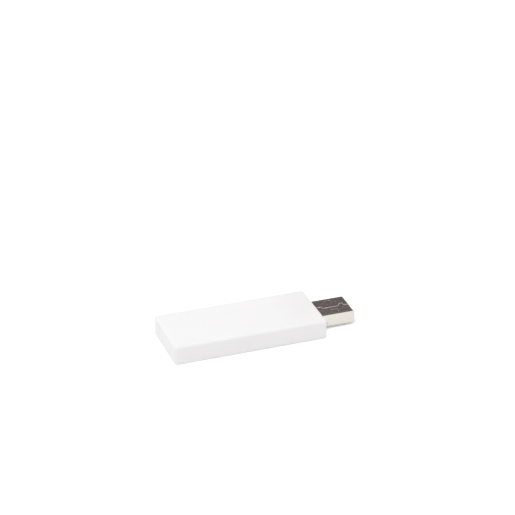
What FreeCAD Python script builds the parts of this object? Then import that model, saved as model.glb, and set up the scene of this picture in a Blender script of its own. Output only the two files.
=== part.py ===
import FreeCAD, Part
import os
import re

import Sketcher

# USB radio adapter: a flat two-part plastic housing with a type A plug in one end.
# It lies on its base. X runs along the stick towards the tip of the plug, Y across it, Z up.
# The origin is at the middle of the whole stick, on the surface that it lies on. Sizes are in mm.

doc = FreeCAD.newDocument("RadioAdapter")

SIZES = [
    # Housing
    ("case_length", 55.5, "housing, along X"),
    ("case_width", 24.2, "housing, along Y"),
    ("case_height", 7.0, "housing, along Z"),
    ("wall", 1.1, "side and end walls"),
    ("roof", 1.1, "top wall"),
    ("floor_thickness", 1.0, "bottom wall inside the lip"),
    ("parting_height", 0.65, "height at which the two mouldings meet"),
    ("corner_round", 1.25, "upright corners"),
    ("top_round", 1.05, "edge all round the top"),
    ("base_round", 0.3, "edge all round the bottom"),
    ("inner_round", 0.5, "upright corners of the inside and of the lip"),
    ("parting_bevel", 0.08, "bevel on both edges of the joint line"),
    ("lip_width", 0.7, "lip of the base"),
    ("lip_rise", 0.8, "lip above the joint line"),
    ("lip_gap", 0.08, "lip to wall"),
    # Snap hooks
    ("hook_length", 3.0, "hook, along X"),
    ("hook_width", 0.8, "hook, thickness of its arm"),
    ("hook_rise", 3.2, "hook above the floor"),
    ("hook_catch", 0.3, "how far the nose stands out"),
    ("hook_nose", 1.1, "height of the nose"),
    ("hook_spacing", 14.0, "middle to middle, along X"),
    ("hook_gap", 0.1, "room round the nose in its recess"),
    # Posts that hold the board
    ("post_radius", 1.6, "posts of both mouldings"),
    ("pin_radius", 0.8, "pin on each lower post"),
    ("pin_gap", 0.1, "pin to hole, and pin to upper post"),
    ("pin_rise", 0.9, "pin above the board"),
    ("post_inset", 1.9, "post to the long edge of the board"),
    ("post_margin", 2.9, "rear posts to the rear of the board, front posts to the shell"),
    ("clamp_gap", 0.05, "upper post to board"),
    ("stop_width", 6.0, "end stop, along Y"),
    ("stop_thickness", 0.8, "end stop, along X"),
    ("stop_gap", 0.1, "end stop to board"),
    # Circuit board
    ("board_thickness", 1.0, "bare board"),
    ("board_gap", 0.3, "board to the walls"),
    ("hook_room", 0.25, "board to a hook"),
    ("notch_gap", 0.15, "board to the plug"),
    ("slot_gap", 0.15, "board to a solder leg"),
    # Plug shell, folded sheet
    ("plug_width", 12.0, "shell, along Y"),
    ("plug_height", 4.5, "shell, along Z"),
    ("plug_reach", 12.6, "shell outside the housing"),
    ("shell_length", 18.6, "shell, along X"),
    ("plug_gap", 0.05, "shell to base, and shell to the top of its cut-out"),
    ("plug_side_gap", 0.1, "shell to the sides of its cut-out"),
    ("sheet", 0.3, "sheet thickness"),
    ("bend_round", 0.5, "outside of the folds"),
    ("rim_round", 0.1, "edge round the mouth"),
    ("window_from_tip", 5.25, "tip to the windows"),
    ("window_length", 2.3, "window, along X"),
    ("window_width", 2.1, "window, along Y"),
    ("window_offset", 3.3, "middle of a window to the middle of the plug"),
    ("window_round", 0.2, "corners of the windows"),
    ("seam_gap", 0.08, "open seam"),
    ("seam_shift", 0.45, "seam to the middle of the plug"),
    ("steep_lean", 0.2, "lean of a steep flank of the seam"),
    ("slant_lean", 0.9, "lean of the slanted flank of the seam"),
    ("tab_from_tip", 1.8, "tip to the front tab"),
    ("tab_head", 1.1, "flat head of the front tab"),
    ("tab_height", 1.5, "how far the front tab reaches"),
    ("rear_tab_from_tip", 9.95, "tip to the head of the rear tab"),
    ("rear_tab_head", 2.9, "flat head of the rear tab"),
    ("rear_tab_undercut", 0.2, "how far the rear tab is narrower at its root, at each end"),
    ("rear_tab_height", 1.2, "how far the rear tab reaches"),
    ("punch_from_tip", 10.4, "tip to the punch mark on each edge side"),
    ("punch_height", 1.4, "punch mark above the bottom of the shell"),
    ("punch_radius", 0.35, "punch mark"),
    ("punch_depth", 0.15, "punch mark"),
    ("ear_from_rear", 0.6, "rear of the shell to an ear"),
    ("ear_length", 2.0, "ear, along X"),
    ("ear_reach", 1.9, "ear, out from the shell"),
    ("ear_flap", 1.2, "sheet taken from the bottom for an ear"),
    ("ear_relief", 0.1, "cut beside an ear"),
    ("leg_stub", 0.6, "solder leg below the board"),
    # Plug insulator
    ("insulator_gap", 0.03, "insulator to shell"),
    ("hollow_depth", 9.8, "tip to the bottom of the hollow"),
    ("tongue_setback", 0.6, "tip of the shell to the tongue"),
    ("tongue_bevel", 0.25, "bevel on the front of the tongue"),
    # Plug contacts
    ("contact_width", 1.0, "contact in its groove"),
    ("contact_thickness", 0.2, "contact strip"),
    ("contact_proud", 0.05, "contact below the tongue's face"),
    ("contact_side_gap", 0.03, "contact to the sides of its groove"),
    ("power_offset", 3.5, "power contact to the middle of the plug"),
    ("data_offset", 1.0, "data contact to the middle of the plug"),
    ("power_setback", 1.6, "tip to a power contact"),
    ("data_setback", 2.6, "tip to a data contact"),
    ("nose_length", 0.6, "turned-in nose of a contact"),
    ("nose_rise", 0.35, "how far the nose turns in"),
    ("tail_width", 0.6, "solder tail"),
    ("tail_length", 1.8, "solder tail beyond the insulator"),
    # Antenna strip
    ("antenna_bay", 12.0, "free end of the housing, beyond the board"),
    ("antenna_sheet", 0.4, "antenna strip, along Z"),
    ("antenna_width", 1.1, "antenna strip, seen from above"),
    ("antenna_foot", 3.0, "strip on the board"),
    ("antenna_side", 4.5, "foot to the middle line"),
    ("antenna_margin", 2.3, "board to the first run"),
    ("run_pitch", 2.6, "run to run"),
    ("run_half", 8.0, "half the length of a run"),
    ("rest_width", 1.0, "rib of the base under the antenna, along Y"),
    ("rest_gap", 0.05, "antenna to its rib"),
    # Parts on the board: distances back from the front of the board and across it
    ("bridge_length", 4.9, "bridge chip body, along X"),
    ("bridge_width", 3.9, "bridge chip body, along Y"),
    ("bridge_height", 1.55, "bridge chip"),
    ("bridge_span", 6.0, "bridge chip over its leads"),
    ("bridge_pitch", 0.635, "lead to lead"),
    ("bridge_lead", 0.25, "lead width"),
    ("bridge_back", 16.2, "middle of the bridge chip"),
    ("bridge_side", 1.6, "middle of the bridge chip"),
    ("small_length", 2.9, "small chip body, along X"),
    ("small_width", 1.6, "small chip body, along Y"),
    ("small_height", 1.1, "small chip"),
    ("small_span", 2.8, "small chip over its leads"),
    ("small_pitch", 0.95, "lead to lead"),
    ("small_lead", 0.4, "lead width"),
    ("lead_sheet", 0.15, "lead thickness"),
    ("lead_foot", 0.45, "lead on the board"),
    ("chip_stand", 0.1, "chip body above the board"),
    ("mark_radius", 0.25, "dimple at the first lead"),
    ("mark_depth", 0.08, "dimple at the first lead"),
    ("mark_inset", 0.6, "dimple to the edges"),
    ("protector_back", 10.0, "middle of the surge protector"),
    ("regulator_back", 15.0, "middle of the regulator"),
    ("regulator_side", 6.0, "middle of the regulator"),
    ("radio_side_length", 7.0, "radio chip, square"),
    ("radio_height", 0.85, "radio chip"),
    ("radio_back", 26.5, "middle of the radio chip"),
    ("land_pitch", 0.5, "terminals of the radio chip"),
    ("land_width", 0.25, "terminal"),
    ("land_height", 0.2, "terminal"),
    ("land_out", 0.03, "terminal beyond the side"),
    ("crystal_length", 3.2, "crystal, along X"),
    ("crystal_width", 2.5, "crystal, along Y"),
    ("crystal_height", 0.8, "crystal"),
    ("crystal_lid_height", 0.25, "metal lid"),
    ("crystal_rim", 0.2, "ceramic rim round the lid"),
    ("crystal_side", 6.4, "middle of the crystal"),
    ("buffer_length", 3.5, "buffer capacitor, along X"),
    ("buffer_width", 2.8, "buffer capacitor, along Y"),
    ("buffer_height", 1.9, "buffer capacitor"),
    ("buffer_bevel", 0.25, "mould bevel"),
    ("buffer_terminal", 0.8, "terminal under each end, along X"),
    ("buffer_terminal_width", 2.2, "terminal, along Y"),
    ("buffer_back", 10.2, "middle of the buffer capacitor"),
    ("buffer_side", 5.6, "middle of the buffer capacitor"),
    ("bead_length", 2.0, "ferrite bead, along Y"),
    ("bead_width", 1.25, "ferrite bead, along X"),
    ("bead_height", 0.9, "ferrite bead"),
    ("bead_back", 13.2, "middle of the bead"),
    ("bead_side", 3.2, "middle of the bead"),
    ("chip_part_length", 1.6, "small two-ended part, along Y"),
    ("chip_part_width", 0.8, "small two-ended part, along X"),
    ("capacitor_height", 0.8, "capacitor"),
    ("resistor_height", 0.45, "resistor"),
    ("coil_height", 0.7, "tuning coil"),
    ("cap_share", 0.35, "metal end of a two-ended part"),
    ("cap_swell", 0.03, "metal end beyond the body"),
    ("row_pitch", 1.5, "part to part in a row"),
    ("near_row_side", 7.6, "row of capacitors"),
    ("near_row_back", 19.4, "its first part"),
    ("far_row_side", 7.0, "row of resistors"),
    ("far_row_back", 13.6, "its first part"),
    ("coil_row_side", 2.0, "row of tuning coils"),
    ("coil_row_back", 31.6, "its first part"),
    ("radio_row_gap", 1.3, "radio chip to the capacitors beside it"),
]

# Places worked out from the sizes, in the same words.
PLACES = {
    "case_end": "-(case_length + plug_reach) / 2",
    "case_face": "case_end + case_length",
    "plug_tip": "case_face + plug_reach",
    "inner_end": "case_end + wall",
    "inner_face": "case_face - wall",
    "inner_half": "case_width / 2 - wall",
    "ceiling": "case_height - roof",
    "plug_bottom": "parting_height + plug_gap",
    "plug_middle": "plug_bottom + plug_height / 2",
    "plug_top": "plug_bottom + plug_height",
    "plug_half": "plug_width / 2",
    "shell_rear": "plug_tip - shell_length",
    "ear_back": "shell_rear + ear_from_rear",
    "leg_face": "plug_half + ear_reach",
    "board_top": "plug_middle - contact_proud",
    "board_bottom": "board_top - board_thickness",
    "board_half": "inner_half - board_gap",
    "board_front": "inner_face - board_gap",
    "board_rear": "inner_end + antenna_bay",
    "lip_half": "inner_half - lip_gap",
    "lip_end": "inner_end + lip_gap",
    "lip_face": "inner_face - lip_gap",
    "hook_foot": "lip_half - hook_width",
    "hook_top": "floor_thickness + hook_rise",
    "hook_middle": "(board_rear + board_front) / 2",
    "post_side": "board_half - post_inset",
    "rear_post": "board_rear + post_margin",
    "front_post": "shell_rear - post_margin",
    "first_run": "board_rear - antenna_margin",
}

sheet = doc.addObject("Spreadsheet::Sheet", "Sizes")
for row, (word, number, meaning) in enumerate(SIZES, 1):
    sheet.set(f"A{row}", meaning)
    sheet.set(f"B{row}", str(number))
    sheet.setAlias(f"B{row}", word)
doc.recompute()

SIZE_WORDS = {word for word, number, meaning in SIZES}


def formula(text):
    """Write a formula in the sheet's cells: a place becomes its own formula."""
    def write_out(match):
        word = match.group(0)
        if word in PLACES:
            return "(" + formula(PLACES[word]) + ")"
        return "Sizes." + word if word in SIZE_WORDS else word
    return re.sub(r"[a-z_]+", write_out, text)


def bind(thing, prop, text):
    thing.setExpression(prop, formula(text))


def size(word):
    return float(sheet.get(word))


def negative(text):
    return f"-({text})"


# Sketches

def new_body(label):
    body = doc.addObject("PartDesign::Body", label)
    body.Label = label
    return body


def origin_part(body, role):
    return next(part for part in body.Origin.OriginFeatures if part.Role == role)


def new_sketch(body, name, plane, level):
    """A sketch on one of the body's own planes, moved along that plane's axis to a level."""
    sketch = body.newObject("Sketcher::SketchObject", name)
    sketch.AttachmentSupport = [(origin_part(body, plane), "")]
    sketch.MapMode = "FlatFace"
    towards_viewer = f"-({level})" if plane == "XZ_Plane" else level
    bind(sketch, "AttachmentOffset.Base.z", towards_viewer)
    return sketch


ROUGH_SIZE = 5.0
FULL_TURN = 360.0


def add_outline(sketch, corners):
    """A closed outline of straight lines, drawn as a rough ring and then tied to its formulas."""
    first = sketch.GeometryCount
    count = len(corners)
    upright = FreeCAD.Vector(0, 0, 1)
    start = [
        FreeCAD.Rotation(upright, FULL_TURN * i / count).multVec(FreeCAD.Vector(ROUGH_SIZE, 0, 0))
        for i in range(count)
    ]
    for i in range(count):
        sketch.addGeometry(Part.LineSegment(start[i], start[(i + 1) % count]), False)
    for i in range(count):
        following = first + (i + 1) % count
        sketch.addConstraint(Sketcher.Constraint("Coincident", first + i, 2, following, 1))
    for i, (across, up) in enumerate(corners):
        tie_point(sketch, first + i, 1, across, up)


def tie_point(sketch, line, end, across, up):
    for kind, text in (("DistanceX", across), ("DistanceY", up)):
        number = sketch.addConstraint(Sketcher.Constraint(kind, -1, 1, line, end, 1.0))
        bind(sketch, f"Constraints[{number}]", text)


def add_rectangle(sketch, left, right, low, high):
    add_outline(sketch, [(left, low), (right, low), (right, high), (left, high)])


def add_circle(sketch, across, up, radius):
    ring = sketch.addGeometry(Part.Circle(FreeCAD.Vector(), FreeCAD.Vector(0, 0, 1), 1.0), False)
    tie_point(sketch, ring, 3, across, up)
    number = sketch.addConstraint(Sketcher.Constraint("Radius", ring, 1.0))
    bind(sketch, f"Constraints[{number}]", radius)


# Features

def add_pad(body, name, sketch, length, symmetric=False, backwards=False):
    pad = body.newObject("PartDesign::Pad", name)
    pad.Profile = sketch
    bind(pad, "Length", length)
    pad.Reversed = backwards
    if symmetric:
        pad.SideType = "Symmetric"
    doc.recompute()
    return pad


def add_pocket(body, name, sketch, depth, backwards=False, symmetric=False):
    """A pocket, with a check that it takes something away."""
    before = body.Shape.Volume
    pocket = body.newObject("PartDesign::Pocket", name)
    pocket.Profile = sketch
    bind(pocket, "Length", depth)
    pocket.Reversed = backwards
    if symmetric:
        pocket.SideType = "Symmetric"
    doc.recompute()
    if not body.Shape.Volume < before:
        raise RuntimeError(f"{body.Label}: {name} cuts nothing")
    return pocket


def add_block(body, name, x_span, y_span, z_span, cut=False):
    """A pad or pocket with an upright box for its outline, between two levels."""
    sketch = new_sketch(body, name + "Sketch", "XY_Plane", z_span[0])
    add_rectangle(sketch, *x_span, *y_span)
    height = f"({z_span[1]}) - ({z_span[0]})"
    if cut:
        return add_pocket(body, name, sketch, height, backwards=True)
    return add_pad(body, name, sketch, height)


def add_row(body, name, features, axis, spacing, count):
    """Copies of a feature at equal steps along one of the body's axes."""
    row = body.newObject("PartDesign::LinearPattern", name)
    row.Originals = features
    row.Direction = (origin_part(body, axis), [""])
    row.Mode = "Spacing"
    bind(row, "Offset", spacing)
    row.Occurrences = count
    body.Tip = row
    doc.recompute()
    return row


def dress_edges(body, kind, name, amount, wanted):
    """A fillet or chamfer on the edges that a test on (edge, whole box) picks."""
    base = body.Tip
    box = base.Shape.BoundBox
    edges = [f"Edge{i}" for i, edge in enumerate(base.Shape.Edges, 1) if wanted(edge, box)]
    if not edges:
        raise RuntimeError(f"{body.Label}: {name} finds no edge")
    feature = body.newObject("PartDesign::" + kind, name)
    feature.Base = (base, edges)
    bind(feature, "Radius" if kind == "Fillet" else "Size", amount)
    doc.recompute()
    return feature


NEAR = 1e-4


def runs_along(edge, axis):
    """Whether an edge is straight and lies along x, y or z."""
    if edge.Curve.TypeId != "Part::GeomLine":
        return False
    direction = edge.Curve.Direction
    return abs(abs(getattr(direction, axis)) - 1) < NEAR


def at_level(edge, axis, level):
    """Whether an edge lies whole in the plane at a level of x, y or z."""
    box = edge.BoundBox
    low = getattr(box, axis.upper() + "Min")
    high = getattr(box, axis.upper() + "Max")
    return abs(low - level) < NEAR and abs(high - level) < NEAR


def is_outer_corner(edge, box):
    """Whether an edge stands upright at a corner of the whole box."""
    middle = edge.BoundBox.Center
    at_end = min(abs(middle.x - box.XMin), abs(middle.x - box.XMax)) < NEAR
    at_side = min(abs(middle.y - box.YMin), abs(middle.y - box.YMax)) < NEAR
    return runs_along(edge, "z") and at_end and at_side


HOOKS_PER_SIDE = 2
FIRST_HOOK = "hook_middle - hook_spacing / 2"

# Upper housing: one white moulding with roof and walls, open below.

def make_upper_housing():
    body = new_body("upper_housing")
    half = "case_width / 2"
    add_block(body, "Outside", ("case_end", "case_face"), (negative(half), half),
              ("parting_height", "case_height"))
    dress_edges(body, "Fillet", "UprightCorners", "corner_round", is_outer_corner)
    dress_edges(body, "Fillet", "TopEdge", "top_round",
                lambda edge, box: at_level(edge, "z", box.ZMax))
    dress_edges(body, "Chamfer", "JointBevel", "parting_bevel",
                lambda edge, box: at_level(edge, "z", box.ZMin))

    add_block(body, "Inside", ("inner_end", "inner_face"), (negative("inner_half"), "inner_half"),
              ("parting_height", "ceiling"), cut=True)
    half_inside = size("case_width") / 2 - size("wall")
    dress_edges(body, "Fillet", "InsideCorners", "inner_round",
                lambda edge, box: runs_along(edge, "z")
                and abs(abs(edge.BoundBox.Center.y) - half_inside) < NEAR)

    # The plug comes out through a cut in the end wall that is open at the joint line.
    opening = new_sketch(body, "PlugOpeningSketch", "YZ_Plane", "inner_face - wall / 2")
    side = "plug_half + plug_side_gap"
    add_rectangle(opening, negative(side), side, "parting_height - wall", "plug_top + plug_gap")
    add_pocket(body, "PlugOpening", opening, "wall * 2", backwards=True)
    opening_top = size("parting_height") + size("plug_height") + 2 * size("plug_gap")
    dress_edges(body, "Fillet", "PlugOpeningCorners", "bend_round + plug_gap",
                lambda edge, box: runs_along(edge, "x") and edge.Length < 2 * size("wall")
                and abs(edge.BoundBox.Center.z - opening_top) < NEAR)

    # Each long wall is hollowed on the inside where a hook of the base catches.
    room = "hook_length / 2 + hook_gap"
    inward = "inner_half - wall / 2"
    outward = "lip_half + hook_catch + hook_gap"
    for side, y_span in (("Near", (negative(outward), negative(inward))),
                         ("Far", (inward, outward))):
        cut = add_block(body, side + "Recess",
                        (f"{FIRST_HOOK} - ({room})", f"{FIRST_HOOK} + {room}"), y_span,
                        ("hook_top - hook_nose - hook_gap", "hook_top + hook_gap"), cut=True)
        add_row(body, side + "RecessRow", [cut], "X_Axis", "hook_spacing", HOOKS_PER_SIDE)

    # Four hollow posts hang from the roof, hold the board down and take the pins of the base.
    for place in ("rear", "front"):
        sketch = new_sketch(body, place + "PostSketch", "XY_Plane", "board_top + clamp_gap")
        for side in ("post_side", negative("post_side")):
            add_circle(sketch, place + "_post", side, "post_radius")
            add_circle(sketch, place + "_post", side, "pin_radius + pin_gap")
        add_pad(body, place + "Posts", sketch, "ceiling - board_top - clamp_gap + roof / 2")
    return body


# Lower housing: one white moulding that closes the upper one from below.

def make_lower_housing():
    body = new_body("lower_housing")
    half = "case_width / 2"
    add_block(body, "Plate", ("case_end", "case_face"), (negative(half), half),
              ("0", "parting_height"))
    dress_edges(body, "Fillet", "UprightCorners", "corner_round", is_outer_corner)
    dress_edges(body, "Fillet", "BottomEdge", "base_round",
                lambda edge, box: at_level(edge, "z", box.ZMin))
    dress_edges(body, "Chamfer", "JointBevel", "parting_bevel",
                lambda edge, box: at_level(edge, "z", box.ZMax))

    # A lip all round inside the walls, and the thicker floor between.
    add_block(body, "Lip", ("lip_end", "lip_face"), (negative("lip_half"), "lip_half"),
              ("parting_height / 2", "parting_height + lip_rise"))
    lip_top = size("parting_height") + size("lip_rise")
    dress_edges(body, "Fillet", "LipCorners", "inner_round",
                lambda edge, box: runs_along(edge, "z")
                and abs(edge.BoundBox.ZMax - lip_top) < NEAR)
    add_block(body, "Inside", ("lip_end + lip_width", "lip_face - lip_width"),
              (negative("lip_half - lip_width"), "lip_half - lip_width"),
              ("floor_thickness", "parting_height + lip_rise * 2"), cut=True)

    # The bed in which the plug lies runs through the floor and the lip.
    side = "plug_half + plug_side_gap"
    add_block(body, "PlugBed", ("shell_rear - notch_gap", "inner_face"), (negative(side), side),
              ("parting_height", "parting_height + lip_rise * 2"), cut=True)

    # Four posts carry the board, each with a pin through it.
    for place in ("rear", "front"):
        for kind, radius, top in (
            ("Posts", "post_radius", "board_bottom"),
            ("Pins", "pin_radius", "board_top + pin_rise"),
        ):
            sketch = new_sketch(body, place + kind + "Sketch", "XY_Plane", "floor_thickness / 2")
            for side in ("post_side", negative("post_side")):
                add_circle(sketch, place + "_post", side, radius)
            add_pad(body, place + kind, sketch, f"{top} - floor_thickness / 2")

    # The end stop behind the board takes the push when the plug goes in.
    add_block(body, "EndStop", ("board_rear - stop_gap - stop_thickness", "board_rear - stop_gap"),
              ("-stop_width / 2", "stop_width / 2"), ("floor_thickness / 2", "board_top"))

    # A rib carries the free end of the antenna.
    add_block(body, "AntennaRest", ("lip_end + lip_width / 2", "first_run - run_pitch"),
              ("-rest_width / 2", "rest_width / 2"), ("floor_thickness / 2", "board_top - rest_gap"))

    # Two hooks on each long side, each a springy arm with a nose that slopes on top.
    for side, sign in (("Near", "-"), ("Far", "")):
        arm = new_sketch(body, side + "HookSketch", "YZ_Plane", f"{FIRST_HOOK} - hook_length / 2")
        corners = [
            ("hook_foot", "floor_thickness / 2"),
            ("lip_half", "floor_thickness / 2"),
            ("lip_half", "hook_top - hook_nose"),
            ("lip_half + hook_catch", "hook_top - hook_nose"),
            ("lip_half + hook_catch", "hook_top - hook_nose / 2"),
            ("lip_half", "hook_top"),
            ("hook_foot", "hook_top"),
        ]
        add_outline(arm, [(f"{sign}({across})", up) for across, up in corners])
        pad = add_pad(body, side + "Hook", arm, "hook_length")
        add_row(body, side + "HookRow", [pad], "X_Axis", "hook_spacing", HOOKS_PER_SIDE)
    return body


# Circuit board: cut round the plug and the hooks, with holes for the pins and solder legs.

def make_circuit_board():
    body = new_body("circuit_board")
    add_block(body, "Blank", ("board_rear", "board_front"), (negative("board_half"), "board_half"),
              ("board_bottom", "board_top"))
    side = "plug_half + notch_gap"
    through = ("board_bottom - board_thickness", "board_top + board_thickness")
    depth = f"{through[1]} - ({through[0]})"
    add_block(body, "PlugNotch", ("shell_rear - notch_gap", "board_front + board_gap"),
              (negative(side), side), through, cut=True)
    room = "hook_length / 2 + hook_room"
    for name, low, high in (
        ("Near", negative("board_half + board_gap"), negative("hook_foot - hook_room")),
        ("Far", "hook_foot - hook_room", "board_half + board_gap"),
    ):
        notch = add_block(body, name + "HookNotch",
                          (f"{FIRST_HOOK} - ({room})", f"{FIRST_HOOK} + {room}"),
                          (low, high), through, cut=True)
        add_row(body, name + "HookNotchRow", [notch], "X_Axis", "hook_spacing", HOOKS_PER_SIDE)
    holes = new_sketch(body, "HoleSketch", "XY_Plane", through[0])
    for place in ("rear_post", "front_post"):
        for side in ("post_side", negative("post_side")):
            add_circle(holes, place, side, "pin_radius + pin_gap")
    add_pocket(body, "PinHoles", holes, depth, backwards=True)
    slots = new_sketch(body, "SlotSketch", "XY_Plane", through[0])
    for low, high in (
        ("leg_face - sheet - slot_gap", "leg_face + slot_gap"),
        (negative("leg_face + slot_gap"), negative("leg_face - sheet - slot_gap")),
    ):
        add_rectangle(slots, "ear_back - slot_gap", "ear_back + ear_length + slot_gap", low, high)
    add_pocket(body, "LegSlots", slots, depth, backwards=True)
    return body


# Plug shell: a strip of sheet steel folded into a tube, its ends locked in a dovetail seam.

def flank_share(lean, rise):
    """How much a seam's corner moves along the seam for each bit that its sides stand apart."""
    return f"(sqrt(({lean}) ^ 2 + ({rise}) ^ 2) - ({lean})) / ({rise})"


def seam_outline():
    """Both sides of the open seam, as one closed outline seen from above."""
    base = "-seam_shift"
    head = "tab_height - seam_shift"
    rear_head = "rear_tab_height - seam_shift"
    steep = flank_share("steep_lean", "tab_height")
    slant = flank_share("slant_lean", "tab_height")
    undercut = flank_share("-rear_tab_undercut", "rear_tab_height")
    head_start = "tab_from_tip + steep_lean"
    head_end = f"{head_start} + tab_head"
    rear_end = "rear_tab_from_tip + rear_tab_head"
    course = [
        ("-sheet", base, "0"),
        ("tab_from_tip", base, steep),
        (head_start, head, steep),
        (head_end, head, f"-({slant})"),
        (f"{head_end} + slant_lean", base, f"-({slant})"),
        ("rear_tab_from_tip + rear_tab_undercut", base, undercut),
        ("rear_tab_from_tip", rear_head, undercut),
        (rear_end, rear_head, f"-({undercut})"),
        (f"{rear_end} - rear_tab_undercut", base, f"-({undercut})"),
        ("shell_length + sheet", base, "0"),
    ]
    back = [
        (f"plug_tip - ({along} - seam_gap / 2 * {share})", f"{across} + seam_gap / 2")
        for along, across, share in course
    ]
    front = [
        (f"plug_tip - ({along} + seam_gap / 2 * {share})", f"{across} - seam_gap / 2")
        for along, across, share in course
    ]
    return back + front[::-1]


def make_plug_shell():
    body = new_body("plug_shell")
    tube = new_sketch(body, "TubeSketch", "YZ_Plane", "shell_rear")
    add_rectangle(tube, "-plug_half", "plug_half", "plug_bottom", "plug_top")
    add_pad(body, "Tube", tube, "shell_length")
    dress_edges(body, "Fillet", "OuterFolds", "bend_round",
                lambda edge, box: runs_along(edge, "x"))
    bore = new_sketch(body, "BoreSketch", "YZ_Plane", "shell_rear - sheet")
    add_rectangle(bore, "-plug_half + sheet", "plug_half - sheet", "plug_bottom + sheet",
                  "plug_top - sheet")
    add_pocket(body, "Bore", bore, "shell_length + 2 * sheet", backwards=True)
    inner_side = size("plug_width") / 2 - size("sheet")
    dress_edges(body, "Fillet", "InnerFolds", "bend_round - sheet",
                lambda edge, box: runs_along(edge, "x")
                and abs(abs(edge.BoundBox.Center.y) - inner_side) < NEAR)
    dress_edges(body, "Fillet", "MouthEdge", "rim_round",
                lambda edge, box: at_level(edge, "x", box.XMax))

    # Two windows go through both flat sides.
    windows = new_sketch(body, "WindowSketch", "XY_Plane", "plug_top + sheet")
    for middle in ("window_offset", "-window_offset"):
        add_rectangle(windows, "plug_tip - window_from_tip - window_length",
                      "plug_tip - window_from_tip", f"{middle} - window_width / 2",
                      f"{middle} + window_width / 2")
    add_pocket(body, "Windows", windows, "plug_height + 2 * sheet")
    dress_edges(body, "Fillet", "WindowCorners", "window_round",
                lambda edge, box: runs_along(edge, "z")
                and edge.Length < 2 * size("sheet"))

    # The seam is open through the top sheet alone.
    seam = new_sketch(body, "SeamSketch", "XY_Plane", "plug_top + sheet")
    add_outline(seam, seam_outline())
    add_pocket(body, "Seam", seam, "2.5 * sheet")

    # A punch mark on each edge side holds the insulator.
    for name, level, outwards in (
        ("NearPunch", "-plug_half + punch_depth", True),
        ("FarPunch", "plug_half - punch_depth", False),
    ):
        punch = new_sketch(body, name + "Sketch", "XZ_Plane", level)
        add_circle(punch, "plug_tip - punch_from_tip", "plug_bottom + punch_height", "punch_radius")
        add_pocket(body, name, punch, "sheet", backwards=outwards)

    # Each ear is sheet from the lower corner of the tube, turned out over the board and
    # down through its slot.
    corner = new_sketch(body, "EarReliefSketch", "XY_Plane", "plug_bottom - sheet")
    for low, high in (
        ("plug_half - ear_flap", "plug_half + sheet"),
        ("-plug_half - sheet", "-plug_half + ear_flap"),
    ):
        add_rectangle(corner, "ear_back - ear_relief", "ear_back + ear_length + ear_relief",
                      low, high)
    add_pocket(body, "EarRelief", corner, "board_top - plug_bottom + sheet", backwards=True)
    for name, sign in (("NearEar", "-"), ("FarEar", "")):
        ear = new_sketch(body, name + "Sketch", "YZ_Plane", "ear_back")
        corners = [
            ("plug_half - sheet", "board_top"),
            ("leg_face - sheet", "board_top"),
            ("leg_face - sheet", "board_bottom - leg_stub"),
            ("leg_face", "board_bottom - leg_stub"),
            ("leg_face", "board_top + sheet"),
            ("plug_half - sheet", "board_top + sheet"),
        ]
        add_outline(ear, [(f"{sign}({across})", up) for across, up in corners])
        add_pad(body, name, ear, "ear_length")
    return body


# Plug contacts: where each one lies, and how far it stops short of the tip.

CONTACTS = [
    ("power_contact", "-power_offset", "power_setback"),
    ("data_minus_contact", "-data_offset", "data_setback"),
    ("data_plus_contact", "data_offset", "data_setback"),
    ("ground_contact", "power_offset", "power_setback"),
]
CONTACT_FACE = "board_top"
CONTACT_BACK = "board_top + contact_thickness"


def make_plug_insulator():
    """Black moulded block that fills the rear of the shell, with the tongue in its upper half."""
    body = new_body("plug_insulator")
    side = "plug_half - sheet - insulator_gap"
    low = "plug_bottom + sheet + insulator_gap"
    high = "plug_top - sheet - insulator_gap"
    add_block(body, "Block", ("shell_rear", "plug_tip - hollow_depth"), (negative(side), side),
              (low, high))
    add_block(body, "Tongue", ("shell_rear", "plug_tip - tongue_setback"), (negative(side), side),
              ("plug_middle", high))
    dress_edges(body, "Chamfer", "TongueFront", "tongue_bevel",
                lambda edge, box: at_level(edge, "x", box.XMax) and runs_along(edge, "y"))
    dress_edges(body, "Fillet", "LongEdges", "bend_round - sheet",
                lambda edge, box: runs_along(edge, "x")
                and min(abs(edge.BoundBox.Center.z - box.ZMin),
                        abs(edge.BoundBox.Center.z - box.ZMax)) < NEAR)

    # Each contact lies in a groove under the tongue, which goes on through the block.
    room = "contact_width / 2 + contact_side_gap"
    for name, across, setback in CONTACTS:
        groove = new_sketch(body, name + "GrooveSketch", "XZ_Plane", f"{across} - ({room})")
        front = f"plug_tip - {setback}"
        add_outline(groove, [
            ("shell_rear - sheet", "board_top - contact_side_gap"),
            (f"{front} + contact_side_gap", "board_top - contact_side_gap"),
            (f"{front} + contact_side_gap", f"{CONTACT_BACK} + nose_rise"),
            (f"{front} - nose_length", f"{CONTACT_BACK} + nose_rise"),
            (f"{front} - nose_length - nose_rise", CONTACT_BACK),
            ("shell_rear - sheet", CONTACT_BACK),
        ])
        add_pocket(body, name + "Groove", groove, f"2 * ({room})")
    return body


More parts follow.
